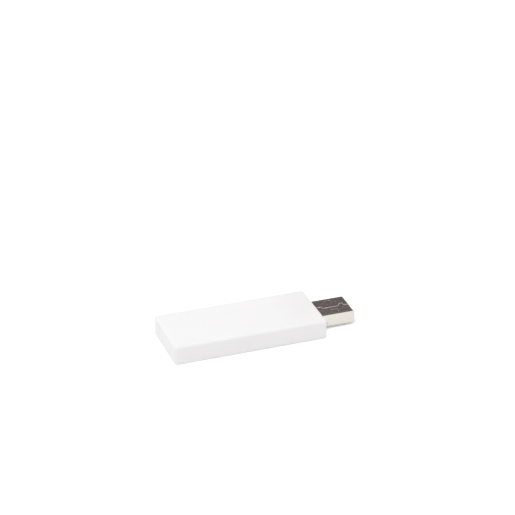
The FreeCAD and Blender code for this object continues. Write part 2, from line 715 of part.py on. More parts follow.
def make_contact(name, across, setback):
    """Stamped and gilded strip with a turned-in nose and a narrow tail that lies on the board."""
    body = new_body(name)
    front = f"plug_tip - {setback}"
    strip = new_sketch(body, "StripSketch", "XZ_Plane", across)
    add_outline(strip, [
        ("shell_rear - tail_length", CONTACT_FACE),
        (f"{front} - nose_length", CONTACT_FACE),
        (front, f"{CONTACT_FACE} + nose_rise"),
        (front, f"{CONTACT_BACK} + nose_rise"),
        (f"{front} - nose_length", CONTACT_BACK),
        ("shell_rear - tail_length", CONTACT_BACK),
    ])
    add_pad(body, "Strip", strip, "contact_width", symmetric=True)
    waste = new_sketch(body, "TailSketch", "XY_Plane", "board_top - contact_thickness")
    end = "shell_rear - tail_length - contact_thickness"
    for low, high in (
        (f"{across} - contact_width", f"{across} - tail_width / 2"),
        (f"{across} + tail_width / 2", f"{across} + contact_width"),
    ):
        add_rectangle(waste, end, "shell_rear - contact_thickness", low, high)
    add_pocket(body, "Tail", waste, "contact_thickness * 3", backwards=True)
    return body


# Parts on the board. Each is built on the spot where it sits and then set down on the board.

def set_down(body, back, across):
    bind(body, "Placement.Base.x", f"board_front - ({back})")
    bind(body, "Placement.Base.y", across)
    bind(body, "Placement.Base.z", "board_top")


def make_gull_wing_chip(name, kind, lead_counts):
    """Black moulded body on bent leads, with a dimple by the first one."""
    body = new_body(name)
    add_block(body, "Moulding", (f"-{kind}_length / 2", f"{kind}_length / 2"),
              (f"-{kind}_width / 2", f"{kind}_width / 2"), ("chip_stand", f"{kind}_height"))
    mark = new_sketch(body, "MarkSketch", "XY_Plane", f"{kind}_height")
    add_circle(mark, f"mark_inset - {kind}_length / 2", f"mark_inset - {kind}_width / 2",
               "mark_radius")
    add_pocket(body, "Mark", mark, "mark_depth")
    knee = f"{kind}_span / 2 - lead_foot"
    level = f"{kind}_height / 2"
    corners = [
        (f"{kind}_width / 2 - lead_sheet", f"{level} - lead_sheet / 2"),
        (f"{knee} - lead_sheet", f"{level} - lead_sheet / 2"),
        (f"{knee} - lead_sheet", "0"),
        (f"{kind}_span / 2", "0"),
        (f"{kind}_span / 2", "lead_sheet"),
        (knee, "lead_sheet"),
        (knee, f"{level} + lead_sheet / 2"),
        (f"{kind}_width / 2 - lead_sheet", f"{level} + lead_sheet / 2"),
    ]
    # Both rows of leads span the same length, and a row with fewer leads is spaced wider.
    near_count, far_count = lead_counts
    row_length = f"{kind}_pitch * {near_count - 1}"
    for side, sign, count in (("Near", "-", near_count), ("Far", "", far_count)):
        lead = new_sketch(body, side + "LeadSketch", "YZ_Plane",
                          f"-{row_length} / 2 - {kind}_lead / 2")
        add_outline(lead, [(f"{sign}({across})", up) for across, up in corners])
        pad = add_pad(body, side + "Lead", lead, f"{kind}_lead")
        add_row(body, side + "Leads", [pad], "X_Axis", f"{row_length} / {count - 1}", count)
    return body


LANDS_PER_SIDE = 12


def make_radio_chip():
    """Flat square package with a row of small terminals along each side."""
    body = new_body("radio_chip")
    half = "radio_side_length / 2"
    add_block(body, "Moulding", (negative(half), half), (negative(half), half),
              ("0", "radio_height"))
    mark = new_sketch(body, "MarkSketch", "XY_Plane", "radio_height")
    add_circle(mark, f"mark_inset - {half}", f"mark_inset - {half}", "mark_radius")
    add_pocket(body, "Mark", mark, "mark_depth")
    start = f"-land_pitch * {LANDS_PER_SIDE - 1} / 2"
    along = (f"{start} - land_width / 2", f"{start} + land_width / 2")
    inward = f"{half} - land_width"
    outward = f"{half} + land_out"
    far = (inward, outward)
    near = (negative(outward), negative(inward))
    for name, x_span, y_span, axis in (
        ("Far", along, far, "X_Axis"),
        ("Near", along, near, "X_Axis"),
        ("Front", far, along, "Y_Axis"),
        ("Rear", near, along, "Y_Axis"),
    ):
        pad = add_block(body, name + "Land", x_span, y_span, ("0", "land_height"))
        add_row(body, name + "Lands", [pad], axis, "land_pitch", LANDS_PER_SIDE)
    set_down(body, "radio_back", "0")
    return body


def make_radio_crystal():
    """Ceramic tray closed by a thin metal lid."""
    body = new_body("radio_crystal")
    add_block(body, "Tray", ("-crystal_length / 2", "crystal_length / 2"),
              ("-crystal_width / 2", "crystal_width / 2"),
              ("0", "crystal_height - crystal_lid_height"))
    add_block(body, "Lid", ("crystal_rim - crystal_length / 2", "crystal_length / 2 - crystal_rim"),
              ("crystal_rim - crystal_width / 2", "crystal_width / 2 - crystal_rim"),
              ("crystal_height - 2 * crystal_lid_height", "crystal_height"))
    dress_edges(body, "Fillet", "LidCorners", "crystal_rim",
                lambda edge, box: runs_along(edge, "z") and abs(edge.BoundBox.ZMax - box.ZMax) < NEAR)
    set_down(body, "radio_back", "crystal_side")
    return body


def make_buffer_capacitor():
    """Moulded block with a metal terminal folded under each end."""
    body = new_body("buffer_capacitor")
    half = "buffer_length / 2"
    add_block(body, "Moulding", (f"lead_sheet - {half}", f"{half} - lead_sheet"),
              ("-buffer_width / 2", "buffer_width / 2"), ("lead_sheet", "buffer_height"))
    dress_edges(body, "Chamfer", "TopBevel", "buffer_bevel",
                lambda edge, box: at_level(edge, "z", box.ZMax))
    corners = [
        (f"{half} - buffer_terminal", "0"),
        (half, "0"),
        (half, "buffer_height / 2"),
        (f"{half} - lead_sheet * 2", "buffer_height / 2"),
        (f"{half} - lead_sheet * 2", "lead_sheet * 2"),
        (f"{half} - buffer_terminal", "lead_sheet * 2"),
    ]
    for name, sign in (("Rear", "-"), ("Front", "")):
        fold = new_sketch(body, name + "TerminalSketch", "XZ_Plane", "0")
        add_outline(fold, [(f"{sign}({across})", up) for across, up in corners])
        add_pad(body, name + "Terminal", fold, "buffer_terminal_width", symmetric=True)
    set_down(body, "buffer_back", negative("buffer_side"))
    return body


def make_two_ended_part(name, length, width, height, back, across):
    """Small block, lengthways across the board, with a metal cap on each end."""
    body = new_body(name)
    add_block(body, "Block", (f"-{width} / 2", f"{width} / 2"),
              (f"-{length} / 2 + cap_swell", f"{length} / 2 - cap_swell"),
              ("0", f"{height} - cap_swell"))
    for end, low, high in (
        ("Near", f"-{length} / 2", f"-{length} / 2 + cap_share"),
        ("Far", f"{length} / 2 - cap_share", f"{length} / 2"),
    ):
        add_block(body, end + "Cap", (f"-{width} / 2 - cap_swell", f"{width} / 2 + cap_swell"),
                  (low, high), ("0", height))
    set_down(body, back, across)
    return body


# Antenna: one strip of sheet metal, folded to and fro. Its foot lies on the board.

ANTENNA_RUNS = 4


def make_antenna_strip():
    body = new_body("antenna_strip")
    half = "antenna_width / 2"
    level = ("board_top", "board_top + antenna_sheet")
    foot = ("-antenna_side - antenna_width / 2", "-antenna_side + antenna_width / 2")
    add_block(body, "Foot", ("first_run", "board_rear + antenna_foot"), foot, level)
    for i in range(ANTENNA_RUNS):
        x = f"first_run - {i} * run_pitch"
        low = foot[0] if i == 0 else negative("run_half")
        add_block(body, f"Run{i + 1}", (f"{x} - {half}", f"{x} + {half}"), (low, "run_half"), level)
        if i > 0:
            # Links join the runs at the far end and at the near end in turn.
            link = ("run_half - antenna_width", "run_half")
            if i % 2 == 0:
                link = ("-run_half", "-run_half + antenna_width")
            add_block(body, f"Link{i}", (x, f"{x} + run_pitch"), link, level)
    return body


nodes = [
    make_upper_housing(),
    make_lower_housing(),
    make_circuit_board(),
    make_plug_shell(),
    make_plug_insulator(),
]
nodes += [make_contact(name, across, setback) for name, across, setback in CONTACTS]

bridge = make_gull_wing_chip("usb_bridge_chip", "bridge", (8, 8))
set_down(bridge, "bridge_back", "bridge_side")
protector = make_gull_wing_chip("surge_protector", "small", (3, 3))
set_down(protector, "protector_back", "0")
regulator = make_gull_wing_chip("voltage_regulator", "small", (3, 2))
set_down(regulator, "regulator_back", negative("regulator_side"))
nodes += [bridge, protector, regulator]

nodes += [make_radio_chip(), make_radio_crystal(), make_buffer_capacitor(), make_antenna_strip()]
nodes.append(make_two_ended_part("ferrite_bead", "bead_length", "bead_width", "bead_height",
                                 "bead_back", negative("bead_side")))

# Rows of two-ended parts: word for the height, the parts' numbers, place of the first part, and
# how far the row lies across the board.
ROWS = [
    ("tuning_coil", "coil_height", "1 2 3", "coil_row_back", "-coil_row_side"),
    ("capacitor", "capacitor_height", "1 2 3 4 5 6", "near_row_back", "-near_row_side"),
    ("capacitor", "capacitor_height", "7 8 9 10",
     "radio_back - radio_side_length / 2 + row_pitch", "-(radio_side_length / 2 + radio_row_gap)"),
    ("resistor", "resistor_height", "1 2 3 4 5", "far_row_back", "far_row_side"),
]
for name, height, numbers, start, across in ROWS:
    for i, number in enumerate(numbers.split()):
        nodes.append(make_two_ended_part(
            f"{name}_{number}", "chip_part_length", "chip_part_width", height,
            f"{start} + {i} * row_pitch", across))

doc.recompute()

# Every object and every solid is checked before any file is written.
for thing in doc.Objects:
    if "Invalid" in thing.State or "Error" in thing.State:
        raise RuntimeError(f"{thing.Label} failed: {thing.State}")
for node in nodes:
    shape = node.Shape
    if shape.isNull() or not shape.isValid() or len(shape.Solids) != 1:
        raise RuntimeError(f"{node.Label}: null, not valid or not one solid")

os.makedirs("parts", exist_ok=True)
for node in nodes:
    node.Shape.exportStep(f"parts/{node.Label}.step")
    print(f"{node.Label}: {node.Shape.Volume:.2f} mm3")
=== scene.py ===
import math

import bmesh
import bpy
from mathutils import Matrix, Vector
from mathutils.geometry import delaunay_2d_cdt


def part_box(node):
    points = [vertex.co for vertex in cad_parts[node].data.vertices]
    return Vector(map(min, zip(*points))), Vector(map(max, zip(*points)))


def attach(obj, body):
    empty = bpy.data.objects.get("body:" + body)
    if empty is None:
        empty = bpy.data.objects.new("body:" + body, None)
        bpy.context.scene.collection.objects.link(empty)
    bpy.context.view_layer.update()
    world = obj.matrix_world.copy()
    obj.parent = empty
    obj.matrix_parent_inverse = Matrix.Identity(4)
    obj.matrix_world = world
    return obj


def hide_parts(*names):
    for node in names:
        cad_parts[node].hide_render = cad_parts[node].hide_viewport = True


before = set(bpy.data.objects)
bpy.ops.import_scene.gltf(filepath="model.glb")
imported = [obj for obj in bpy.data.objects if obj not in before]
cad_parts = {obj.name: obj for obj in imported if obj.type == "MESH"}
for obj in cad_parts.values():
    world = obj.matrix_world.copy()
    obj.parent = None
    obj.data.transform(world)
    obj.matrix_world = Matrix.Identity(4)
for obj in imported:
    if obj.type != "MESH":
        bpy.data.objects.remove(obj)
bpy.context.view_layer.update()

# Base of the housing
# A thin plate of white ABS with a lip, posts and hooks inside the joint line. It is injection
# moulded in a spark-eroded mould, which leaves a fine satin grain on every face.

MM = 0.001


class Shade:
    """A shader value that takes part in ordinary arithmetic."""

    def __init__(self, nodes, socket):
        self.nodes = nodes
        self.socket = socket

    def reckon(self, operation, left, right=0.0):
        """Add the Math node of one operation."""
        return self.nodes.add("Math", {"operation": operation}, {0: left, 1: right})

    def __add__(self, other):
        return self.reckon("ADD", self, other)

    def __radd__(self, other):
        return self.reckon("ADD", other, self)

    def __sub__(self, other):
        return self.reckon("SUBTRACT", self, other)

    def __rsub__(self, other):
        return self.reckon("SUBTRACT", other, self)

    def __mul__(self, other):
        return self.reckon("MULTIPLY", self, other)

    def __rmul__(self, other):
        return self.reckon("MULTIPLY", other, self)

    def __gt__(self, other):
        return self.reckon("GREATER_THAN", self, other)

    def __lt__(self, other):
        return self.reckon("LESS_THAN", self, other)

    def __or__(self, other):
        return self.reckon("MAXIMUM", self, other)

    def __abs__(self):
        return self.reckon("ABSOLUTE", self)


class Nodes:
    """The nodes of one material, or of the room round the object."""

    def __init__(self, tree):
        self.tree = tree

    def add(self, kind, settings, sockets, output=0):
        """Add a node: its settings come first, then the values or links of its sockets."""
        node = self.tree.nodes.new("ShaderNode" + kind)
        for word, setting in settings.items():
            setattr(node, word, setting)
        for socket, value in sockets.items():
            self.feed(node.inputs[socket], value)
        return Shade(self, node.outputs[output])

    def feed(self, socket, value):
        """Link a socket to a shader value, or set it to a plain one."""
        if isinstance(value, Shade):
            self.tree.links.new(value.socket, socket)
        else:
            socket.default_value = value


class Finish(Nodes):
    """A material for one kind of surface."""

    def __init__(self, name, settings):
        self.material = bpy.data.materials.new(name)
        self.material.use_nodes = True
        super().__init__(self.material.node_tree)
        self.surface = self.tree.nodes["Principled BSDF"]
        self.show(settings)

    def show(self, values):
        """Set or link the surface's own sockets."""
        for socket, value in values.items():
            self.feed(self.surface.inputs[socket], value)

    def place(self):
        """Where a point lies on the object, in millimetres."""
        here = self.add("TexCoord", {}, {}, "Object")
        return self.add("VectorMath", {"operation": "SCALE"}, {0: here, "Scale": 1 / MM})

    def along(self, vector, axis):
        """One coordinate of a vector."""
        return self.add("SeparateXYZ", {}, {0: vector}, axis)

    def stretched(self, vector, amounts):
        """Scale a place along each axis: a small amount draws a texture's marks out."""
        return self.add("VectorMath", {"operation": "MULTIPLY"}, {0: vector, 1: amounts})

    def noise(self, vector, scale, detail=2.0):
        """Soft random spots from 0 to 1, about as many to a millimetre as the scale says."""
        return self.add("TexNoise", {}, {"Vector": vector, "Scale": scale, "Detail": detail})

    def mix(self, share, first, second):
        """Blend two colours, which the Mix node has at its inputs 6 and 7 and output 2."""
        return self.add("Mix", {"data_type": "RGBA"}, {0: share, 6: first, 7: second}, 2)

    def bump(self, height, depth, onto=None):
        """Raise the surface by a height from 0 to 1, at most depth millimetres."""
        sockets = {"Height": height, "Distance": depth * MM, "Strength": 1.0}
        if onto:
            sockets["Normal"] = onto
        return self.add("Bump", {}, sockets)


def colour(red, green, blue):
    return (red, green, blue, 1.0)


def white_plastic():
    """Satin ABS: a fine spark-eroded grain over the faint flow of the mould."""
    finish = Finish("white_plastic", {"IOR": 1.5})
    here = finish.place()
    grain = finish.noise(here, 9.0)
    flow = finish.noise(finish.stretched(here, (0.5, 1.0, 1.0)), 0.16)
    finish.show({
        "Base Color": finish.mix(flow, colour(0.835, 0.82, 0.826), colour(0.865, 0.855, 0.858)),
        "Roughness": 0.42 + 0.1 * (grain - 0.5) + 0.06 * (flow - 0.5),
        "Normal": finish.bump(grain, 0.004, onto=finish.bump(flow, 0.02)),
    })
    return finish.material


WHITE_PLASTIC = white_plastic()


def dress(node, material):
    """Give a piece of the frame its finish, and smooth its rounded edges."""
    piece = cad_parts[node]
    piece.data.materials.clear()
    piece.data.materials.append(material)
    piece.modifiers.new("Even", "WEIGHTED_NORMAL").keep_sharp = True


dress("lower_housing", WHITE_PLASTIC)

# Circuit board
# Glass-fibre laminate with green lacquer on both faces. It is milled to its outline, so its cut
# edges show the bare laminate, and it lies on the posts of the base, over their pins.

def laminate():
    """Green lacquer over a glass weave, and the bare layers of the laminate on the cut edges."""
    finish = Finish("board_laminate", {"IOR": 1.5})
    here = finish.place()
    facing = abs(finish.along(finish.add("NewGeometry", {}, {}, "Normal"), "Z"))
    cut = facing < 0.5
    weave = [finish.add("TexWave", {"bands_direction": way}, {"Vector": here, "Scale": 0.8}, "Fac")
             for way in ("X", "Y")]
    layers = finish.add("TexWave", {"bands_direction": "Z"}, {"Vector": here, "Scale": 1.6}, "Fac")
    cloud = finish.noise(here, 0.4)
    threads = 0.35 * (weave[0] + weave[1]) + 0.3 * cloud
    lacquer = finish.mix(threads, colour(0.016, 0.115, 0.048), colour(0.026, 0.150, 0.066))
    raw = finish.mix(layers, colour(0.42, 0.40, 0.20), colour(0.60, 0.56, 0.34))
    finish.show({
        "Base Color": finish.mix(cut, lacquer, raw),
        "Roughness": 0.22 + 0.5 * cut + 0.06 * (cloud - 0.5),
        "Normal": finish.bump(threads, 0.004),
    })
    return finish.material


dress("circuit_board", laminate())

# Tracks of the board
# Copper strips under the lacquer, etched from one sheet, which join the parts. They turn in
# half right angles, and the ones that carry the supply or the radio's power are wide. Plated
# holes, which the lacquer closes, lead down to the copper on the other face.

def box_of(node):
    """The lowest and the highest corner of a piece, in millimetres."""
    return [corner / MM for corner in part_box(node)]


def middle_of(node):
    low, high = box_of(node)
    return (low + high) / 2


def row_of(word, first, last):
    """The middles of a numbered row of parts."""
    return [middle_of(f"{word}_{number}") for number in range(first, last + 1)]


board_bottom, board_top = (corner.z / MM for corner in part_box("circuit_board"))
bridge = middle_of("usb_bridge_chip")
guard = middle_of("surge_protector")
regulator = middle_of("voltage_regulator")
radio = middle_of("radio_chip")
crystal = middle_of("radio_crystal")
bead = middle_of("ferrite_bead")
buffer = middle_of("buffer_capacitor")
near_row = row_of("capacitor", 1, 6)
radio_row = row_of("capacitor", 7, 10)
far_row = row_of("resistor", 1, 5)
coils = row_of("tuning_coil", 1, 3)
tail_end = box_of("power_contact")[0].x
foot_end = box_of("antenna_strip")[1].x
radio_edge = box_of("radio_chip")[1].x

# How far apart the leads of each kind of chip stand, and how many there are.
BRIDGE_PITCH = 0.635
SMALL_PITCH = 0.95
LAND_PITCH = 0.5
BRIDGE_LEADS_PER_SIDE = 8
LANDS_PER_SIDE = 12

# How far from the middle of a part its tracks begin.
GUARD_REACH = 1.3
BRIDGE_REACH = 2.7
REGULATOR_REACH = 1.2
BEAD_REACH = 1.0
BUFFER_REACH = 1.5
BLOCK_REACH = 0.7
LAND_REACH = 3.45
CRYSTAL_REACH = 1.1

# Where the long lines lie across the board, and how wide each kind of track is.
POWER_LINE = 3.5
SUPPLY_LINE = -2.7
DATA_LINE = 1.0
ANTENNA_LINE = -4.5
GROUND_FAR = 8.6
GROUND_NEAR = -9.2
SIGNAL_LINE = -1.85
SIGNAL_SPACING = 0.35
FIRST_HOLE = 0.45
HOLE_SPACING = 2.5
SIGNAL = 0.2
BRANCH = 0.3
RAIL = 0.4
SUPPLY = 0.6

ground_end = radio.x - 5.0
supply_rail = near_row[0].y + 1.25
ground_comb = radio_row[0].y - BLOCK_REACH
comb_end = radio_row[-1].x - 1.3
guard_hole = (guard.x, 2.6)


def bridge_lead(number):
    """Where a lead of the bridge chip stands along the board."""
    return bridge.x + BRIDGE_PITCH * (number - (BRIDGE_LEADS_PER_SIDE - 1) / 2)


def land(number):
    """How far a land of the radio chip lies from the chip's middle."""
    return LAND_PITCH * (number - (LANDS_PER_SIDE - 1) / 2)


tracks = []


def track(width, *course):
    """Lead a strip of copper along a course of straight legs."""
    tracks.append((width, course))


# The two data lines run side by side through the surge protector to the bridge chip.
for side in (-1, 1):
    track(SIGNAL, (tail_end, side * DATA_LINE), (guard.x + 1.6, side * DATA_LINE),
          (guard.x + SMALL_PITCH, side * GUARD_REACH))
track(SIGNAL, (guard.x - SMALL_PITCH, -GUARD_REACH), (guard.x - 1.3, -1.65),
      (bridge_lead(7) + 0.3, -1.65), (bridge_lead(7), -1.35))
track(SIGNAL, (guard.x - SMALL_PITCH, GUARD_REACH), (guard.x - 1.7, 0.55),
      (bridge_lead(6) + 0.9, 0.55), (bridge_lead(6), -0.35), (bridge_lead(6), -1.0))
# The supply: contact, bead, buffer capacitor, regulator, and on along the near row.
track(SUPPLY, (tail_end, -POWER_LINE), (guard.x + 2.2, -POWER_LINE), (guard.x + 1.4, SUPPLY_LINE),
      (bead.x + 0.5, SUPPLY_LINE), (bead.x, bead.y + BEAD_REACH))
track(SUPPLY, (bead.x, bead.y - BEAD_REACH), (bead.x + 0.4, bead.y - 1.7),
      (buffer.x - BUFFER_REACH, buffer.y))
track(SUPPLY, (buffer.x - BUFFER_REACH, buffer.y), (regulator.x + 1.5, buffer.y),
      (regulator.x + SMALL_PITCH, regulator.y + REGULATOR_REACH))
track(BRANCH, (guard.x, -GUARD_REACH), (guard.x, SUPPLY_LINE))
track(RAIL, (regulator.x - SMALL_PITCH, regulator.y - 1.0),
      (regulator.x - SMALL_PITCH, regulator.y - 0.3), (near_row[0].x + 1.0, supply_rail),
      (near_row[-1].x, supply_rail))
# Ground: one track along each long edge, with a branch to every part that needs it.
track(SUPPLY, (tail_end, POWER_LINE), (guard.x + 2.2, POWER_LINE), (guard.x + 1.0, 4.7),
      (guard.x + 1.0, GROUND_FAR - 0.7), (guard.x + 0.3, GROUND_FAR), (ground_end, GROUND_FAR))
track(SUPPLY, (buffer.x + BUFFER_REACH, buffer.y), (buffer.x + BUFFER_REACH, GROUND_NEAR + 1.8),
      (buffer.x - 0.3, GROUND_NEAR), (ground_end, GROUND_NEAR))
track(BRANCH, (guard.x, GUARD_REACH), guard_hole)
track(BRANCH, (regulator.x, regulator.y - REGULATOR_REACH), (regulator.x, GROUND_NEAR))
for part in near_row:
    track(BRANCH, (part.x, supply_rail), (part.x, part.y + BLOCK_REACH))
    track(BRANCH, (part.x, part.y - BLOCK_REACH), (part.x, GROUND_NEAR))
track(RAIL, (radio_row[0].x, ground_comb), (comb_end + 0.7, ground_comb),
      (comb_end, ground_comb - 0.7), (comb_end, GROUND_NEAR))
# The bridge chip's far leads fan out to the resistors, its near ones lead to the radio chip.
for part, number in zip(far_row, (7, 5, 3, 1, 0)):
    lead = bridge_lead(number)
    turn = part.y - 1.2
    track(SIGNAL, (lead, bridge.y + BRIDGE_REACH), (lead, turn - abs(lead - part.x)),
          (part.x, turn), (part.x, part.y - BLOCK_REACH))
    track(BRANCH, (part.x, part.y + BLOCK_REACH), (part.x, GROUND_FAR))
for number in range(4):
    lead = bridge_lead(number)
    level = SIGNAL_LINE - SIGNAL_SPACING * number
    goal = land(3 - number)
    turn = radio_edge + 1.2
    track(SIGNAL, (lead, -1.3), (lead, level + 0.2), (lead - 0.2, level), (turn, level),
          (turn - abs(level - goal), goal), (radio_edge, goal))
# Round the radio chip: its own capacitors, its crystal, and the coils that lead to the antenna.
for part, number in zip(radio_row, (9, 6, 3, 0)):
    track(SIGNAL, (radio.x + land(number), radio.y - LAND_REACH), (part.x, part.y + 0.75))
for side, number in ((-1, 5), (1, 6)):
    lead = radio.x + land(number)
    track(SIGNAL, (lead, radio.y + LAND_REACH), (lead, crystal.y - 1.9),
          (crystal.x + side * CRYSTAL_REACH, crystal.y - CRYSTAL_REACH))
track(RAIL, (radio.x - LAND_REACH, land(5)), (coils[0].x + 0.6, land(5)),
      (coils[0].x, coils[0].y + BLOCK_REACH))
for one, two, end in ((coils[0], coils[1], -BLOCK_REACH), (coils[1], coils[2], BLOCK_REACH)):
    track(SUPPLY, (one.x, one.y + end), (two.x, two.y + end))
track(SUPPLY, (coils[2].x, coils[2].y - BLOCK_REACH), (foot_end + 1.0, ANTENNA_LINE),
      (foot_end, ANTENNA_LINE))
# Four lines lead to bare pads, where the works loads the radio chip's program.
bare_pads = [(radio.x - 8.5, radio.y + 0.9 + 1.5 * number) for number in range(4)]
for number, (pad_x, pad_y) in enumerate(bare_pads):
    level = radio.y + land(7 + number)
    turn = radio.x - 5.2 + 0.4 * number
    track(SIGNAL, (radio.x - LAND_REACH, level), (turn, level), (turn - (pad_y - level), pad_y),
          (pad_x, pad_y))

plated_holes = [guard_hole, (guard.x + 1.0, 6.3)]
for line, count in ((GROUND_FAR, 5), (GROUND_NEAR, 9)):
    plated_holes += [(ground_end + FIRST_HOLE + HOLE_SPACING * step, line) for step in range(count)]
for number in (1, 3, 8, 10):
    plated_holes.append((radio.x + land(number), radio.y + 4.3))
    track(SIGNAL, (radio.x + land(number), radio.y + LAND_REACH), plated_holes[-1])
for number in (6, 8, 10):
    plated_holes.append((radio_edge + 1.1, radio.y + land(number)))
    track(SIGNAL, (radio_edge, radio.y + land(number)), plated_holes[-1])


def beside(course, gap):
    """A course of straight legs, set off to one side by a gap."""
    points = []
    for index, (along, across) in enumerate(course):
        before = Vector(course[max(index - 1, 0)])
        here = Vector((along, across))
        after = Vector(course[min(index + 1, len(course) - 1)])
        ahead = [leg.normalized() for leg in (here - before, after - here) if leg.length > 0]
        sides = [Vector((-leg.y, leg.x)) for leg in ahead]
        mitre = sum(sides, Vector((0, 0))).normalized()
        points.append(tuple(here + mitre * gap / mitre.dot(sides[0])))
    return points


def ring(x, y, radius, steps):
    """Points round a circle."""
    return [(x + radius * math.cos(step * math.tau / steps),
             y + radius * math.sin(step * math.tau / steps)) for step in range(steps)]


def add_tube(mesh, sections):
    """Join equal rings of points into one closed skin."""
    rings = [[mesh.verts.new(Vector(point) * MM) for point in section] for section in sections]
    for one, two in zip(rings, rings[1:]):
        for i in range(len(one)):
            j = (i + 1) % len(one)
            mesh.faces.new((one[i], one[j], two[j], two[i]))
    mesh.faces.new(rings[0][::-1])
    mesh.faces.new(rings[-1])


# What lies on the board starts a little below its face, so that no gap shows.
SUNK = 0.02
DISC_STEPS = 12


def add_strip(mesh, course, width, height):
    """A strip along a course on the board, a little narrower at its top than at its foot."""
    low, high = board_top - SUNK, board_top + height
    crest = width / 2 - height / 2
    sides = [beside(course, gap) for gap in (width / 2, -width / 2, -crest, crest)]
    add_tube(mesh, [[(*point, level) for point, level in zip(section, (low, low, high, high))]
                    for section in zip(*sides)])


def add_disc(mesh, spot, profile):
    """A round disc on the board, turned from a profile of radii and heights."""
    add_tube(mesh, [[(*point, board_top + height) for point in ring(*spot, radius, DISC_STEPS)]
                    for radius, height in profile])


TRACK_HEIGHT = 0.028
# Each track stands a hair higher than the one before, so that no two tops lie in one plane.
TRACK_STEP = 0.0001
HOLE_PROFILE = [(0.35, -SUNK), (0.35, 0.037), (0.31, 0.048), (0.17, 0.048), (0.09, 0.038)]
track_mesh = bmesh.new()
for number, (width, course) in enumerate(tracks):
    add_strip(track_mesh, course, width, TRACK_HEIGHT + TRACK_STEP * number)
for spot in plated_holes:
    add_disc(track_mesh, spot, HOLE_PROFILE)


def new_piece(name, mesh, material):
    """Turn a mesh into a smooth piece that rides on the object."""
    data = bpy.data.meshes.new(name)
    mesh.to_mesh(data)
    mesh.free()
    data.materials.append(material)
    data.polygons.foreach_set("use_smooth", [True] * len(data.polygons))
    piece = bpy.data.objects.new(name, data)
    bpy.context.scene.collection.objects.link(piece)
    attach(piece, "root")
    return piece


def crisp_piece(name, mesh, material, degrees):
    """A piece made of closed skins, crisp where they turn by more than an angle."""
    bmesh.ops.recalc_face_normals(mesh, faces=mesh.faces[:])
    for edge in mesh.edges:
        edge.smooth = edge.calc_face_angle() < math.radians(degrees)
    return new_piece(name, mesh, material)


def lacquered_copper():
    """The lacquer is paler and smoother where copper lies under it."""
    finish = Finish("lacquered_copper", {"IOR": 1.5})
    cloud = finish.noise(finish.place(), 1.4)
    finish.show({
        "Base Color": finish.mix(cloud, colour(0.040, 0.205, 0.070), colour(0.060, 0.250, 0.088)),
        "Roughness": 0.2 + 0.08 * (cloud - 0.5),
        "Normal": finish.bump(cloud, 0.003),
    })
    return finish.material


crisp_piece("board_tracks", track_mesh, lacquered_copper(), 35)

# Legend of the board
# White ink, screened on over the lacquer before any part is set down: brackets that hold each
# part or row of parts between them, and a dot by the first leg of each chip.

INK_WIDTH = 0.15
INK_HEIGHT = 0.05
BRACKET_GAP = 0.3
BRACKET_ARM = 0.25
CORNER_ARM = 0.75
DOT_BACK = 0.7
DOT_DOWN = 0.1
DOT_PROFILE = [(0.2, -SUNK), (0.2, INK_HEIGHT - 0.01), (0.18, INK_HEIGHT)]
ink_mesh = bmesh.new()
bracketed = [(part, part) for part in ("usb_bridge_chip", "surge_protector", "voltage_regulator",
                                       "radio_crystal", "ferrite_bead")]
bracketed += [("capacitor_6", "capacitor_1"), ("capacitor_10", "capacitor_7"),
              ("resistor_5", "resistor_1"), ("tuning_coil_3", "tuning_coil_1")]
for first, last in bracketed:
    low, high = box_of(first)[0], box_of(last)[1]
    for x, inward in ((low.x - BRACKET_GAP, BRACKET_ARM), (high.x + BRACKET_GAP, -BRACKET_ARM)):
        add_strip(ink_mesh, [(x + inward, low.y), (x, low.y), (x, high.y), (x + inward, high.y)],
                  INK_WIDTH, INK_HEIGHT)
low, high = box_of("buffer_capacitor")
for y in (low.y - BRACKET_GAP, high.y + BRACKET_GAP):
    add_strip(ink_mesh, [(low.x, y), (high.x, y)], INK_WIDTH, INK_HEIGHT)
low, high = box_of("radio_chip")
for x, left in ((low.x - BRACKET_GAP, 1), (high.x + BRACKET_GAP, -1)):
    for y, up in ((low.y - BRACKET_GAP, 1), (high.y + BRACKET_GAP, -1)):
        add_strip(ink_mesh, [(x + left * CORNER_ARM, y), (x, y), (x, y + up * CORNER_ARM)],
                  INK_WIDTH, INK_HEIGHT)
for chip in ("usb_bridge_chip", "surge_protector", "voltage_regulator", "radio_chip"):
    low = box_of(chip)[0]
    add_disc(ink_mesh, (low.x - DOT_BACK, low.y - DOT_DOWN), DOT_PROFILE)


def white_ink():
    """Matt epoxy ink, a little thinner here and there."""
    finish = Finish("white_ink", {"IOR": 1.5})
    thinness = finish.noise(finish.place(), 3.0)
    finish.show({
        "Base Color": finish.mix(thinness, colour(0.84, 0.84, 0.81), colour(0.74, 0.77, 0.73)),
        "Roughness": 0.6 + 0.1 * (thinness - 0.5),
        "Normal": finish.bump(thinness, 0.004),
    })
    return finish.material


crisp_piece("board_legend", ink_mesh, white_ink(), 35)

# Chips
# Bodies of black, glass-filled epoxy, pressed round a stamped frame whose legs stand out and
# are tinned. Each has a dimple by its first leg. The square radio chip has lands and no legs.

def tinned_part(name, body, roughness, is_metal):
    """A moulded or fired body, with bright tin wherever it is soldered."""
    finish = Finish(name, {"IOR": 1.5})
    here = finish.place()
    metal = is_metal(finish, here)
    grain = finish.noise(here, 7.0)
    cloud = finish.noise(here, 1.1)
    tin = finish.mix(grain, colour(0.70, 0.69, 0.66), colour(0.80, 0.78, 0.74))
    finish.show({
        "Base Color": finish.mix(metal, body(finish, here, cloud), tin),
        "Metallic": metal,
        "Roughness": roughness + (0.26 - roughness) * metal + 0.1 * (grain - 0.5),
        "Normal": finish.bump(grain, 0.005),
    })
    return finish.material


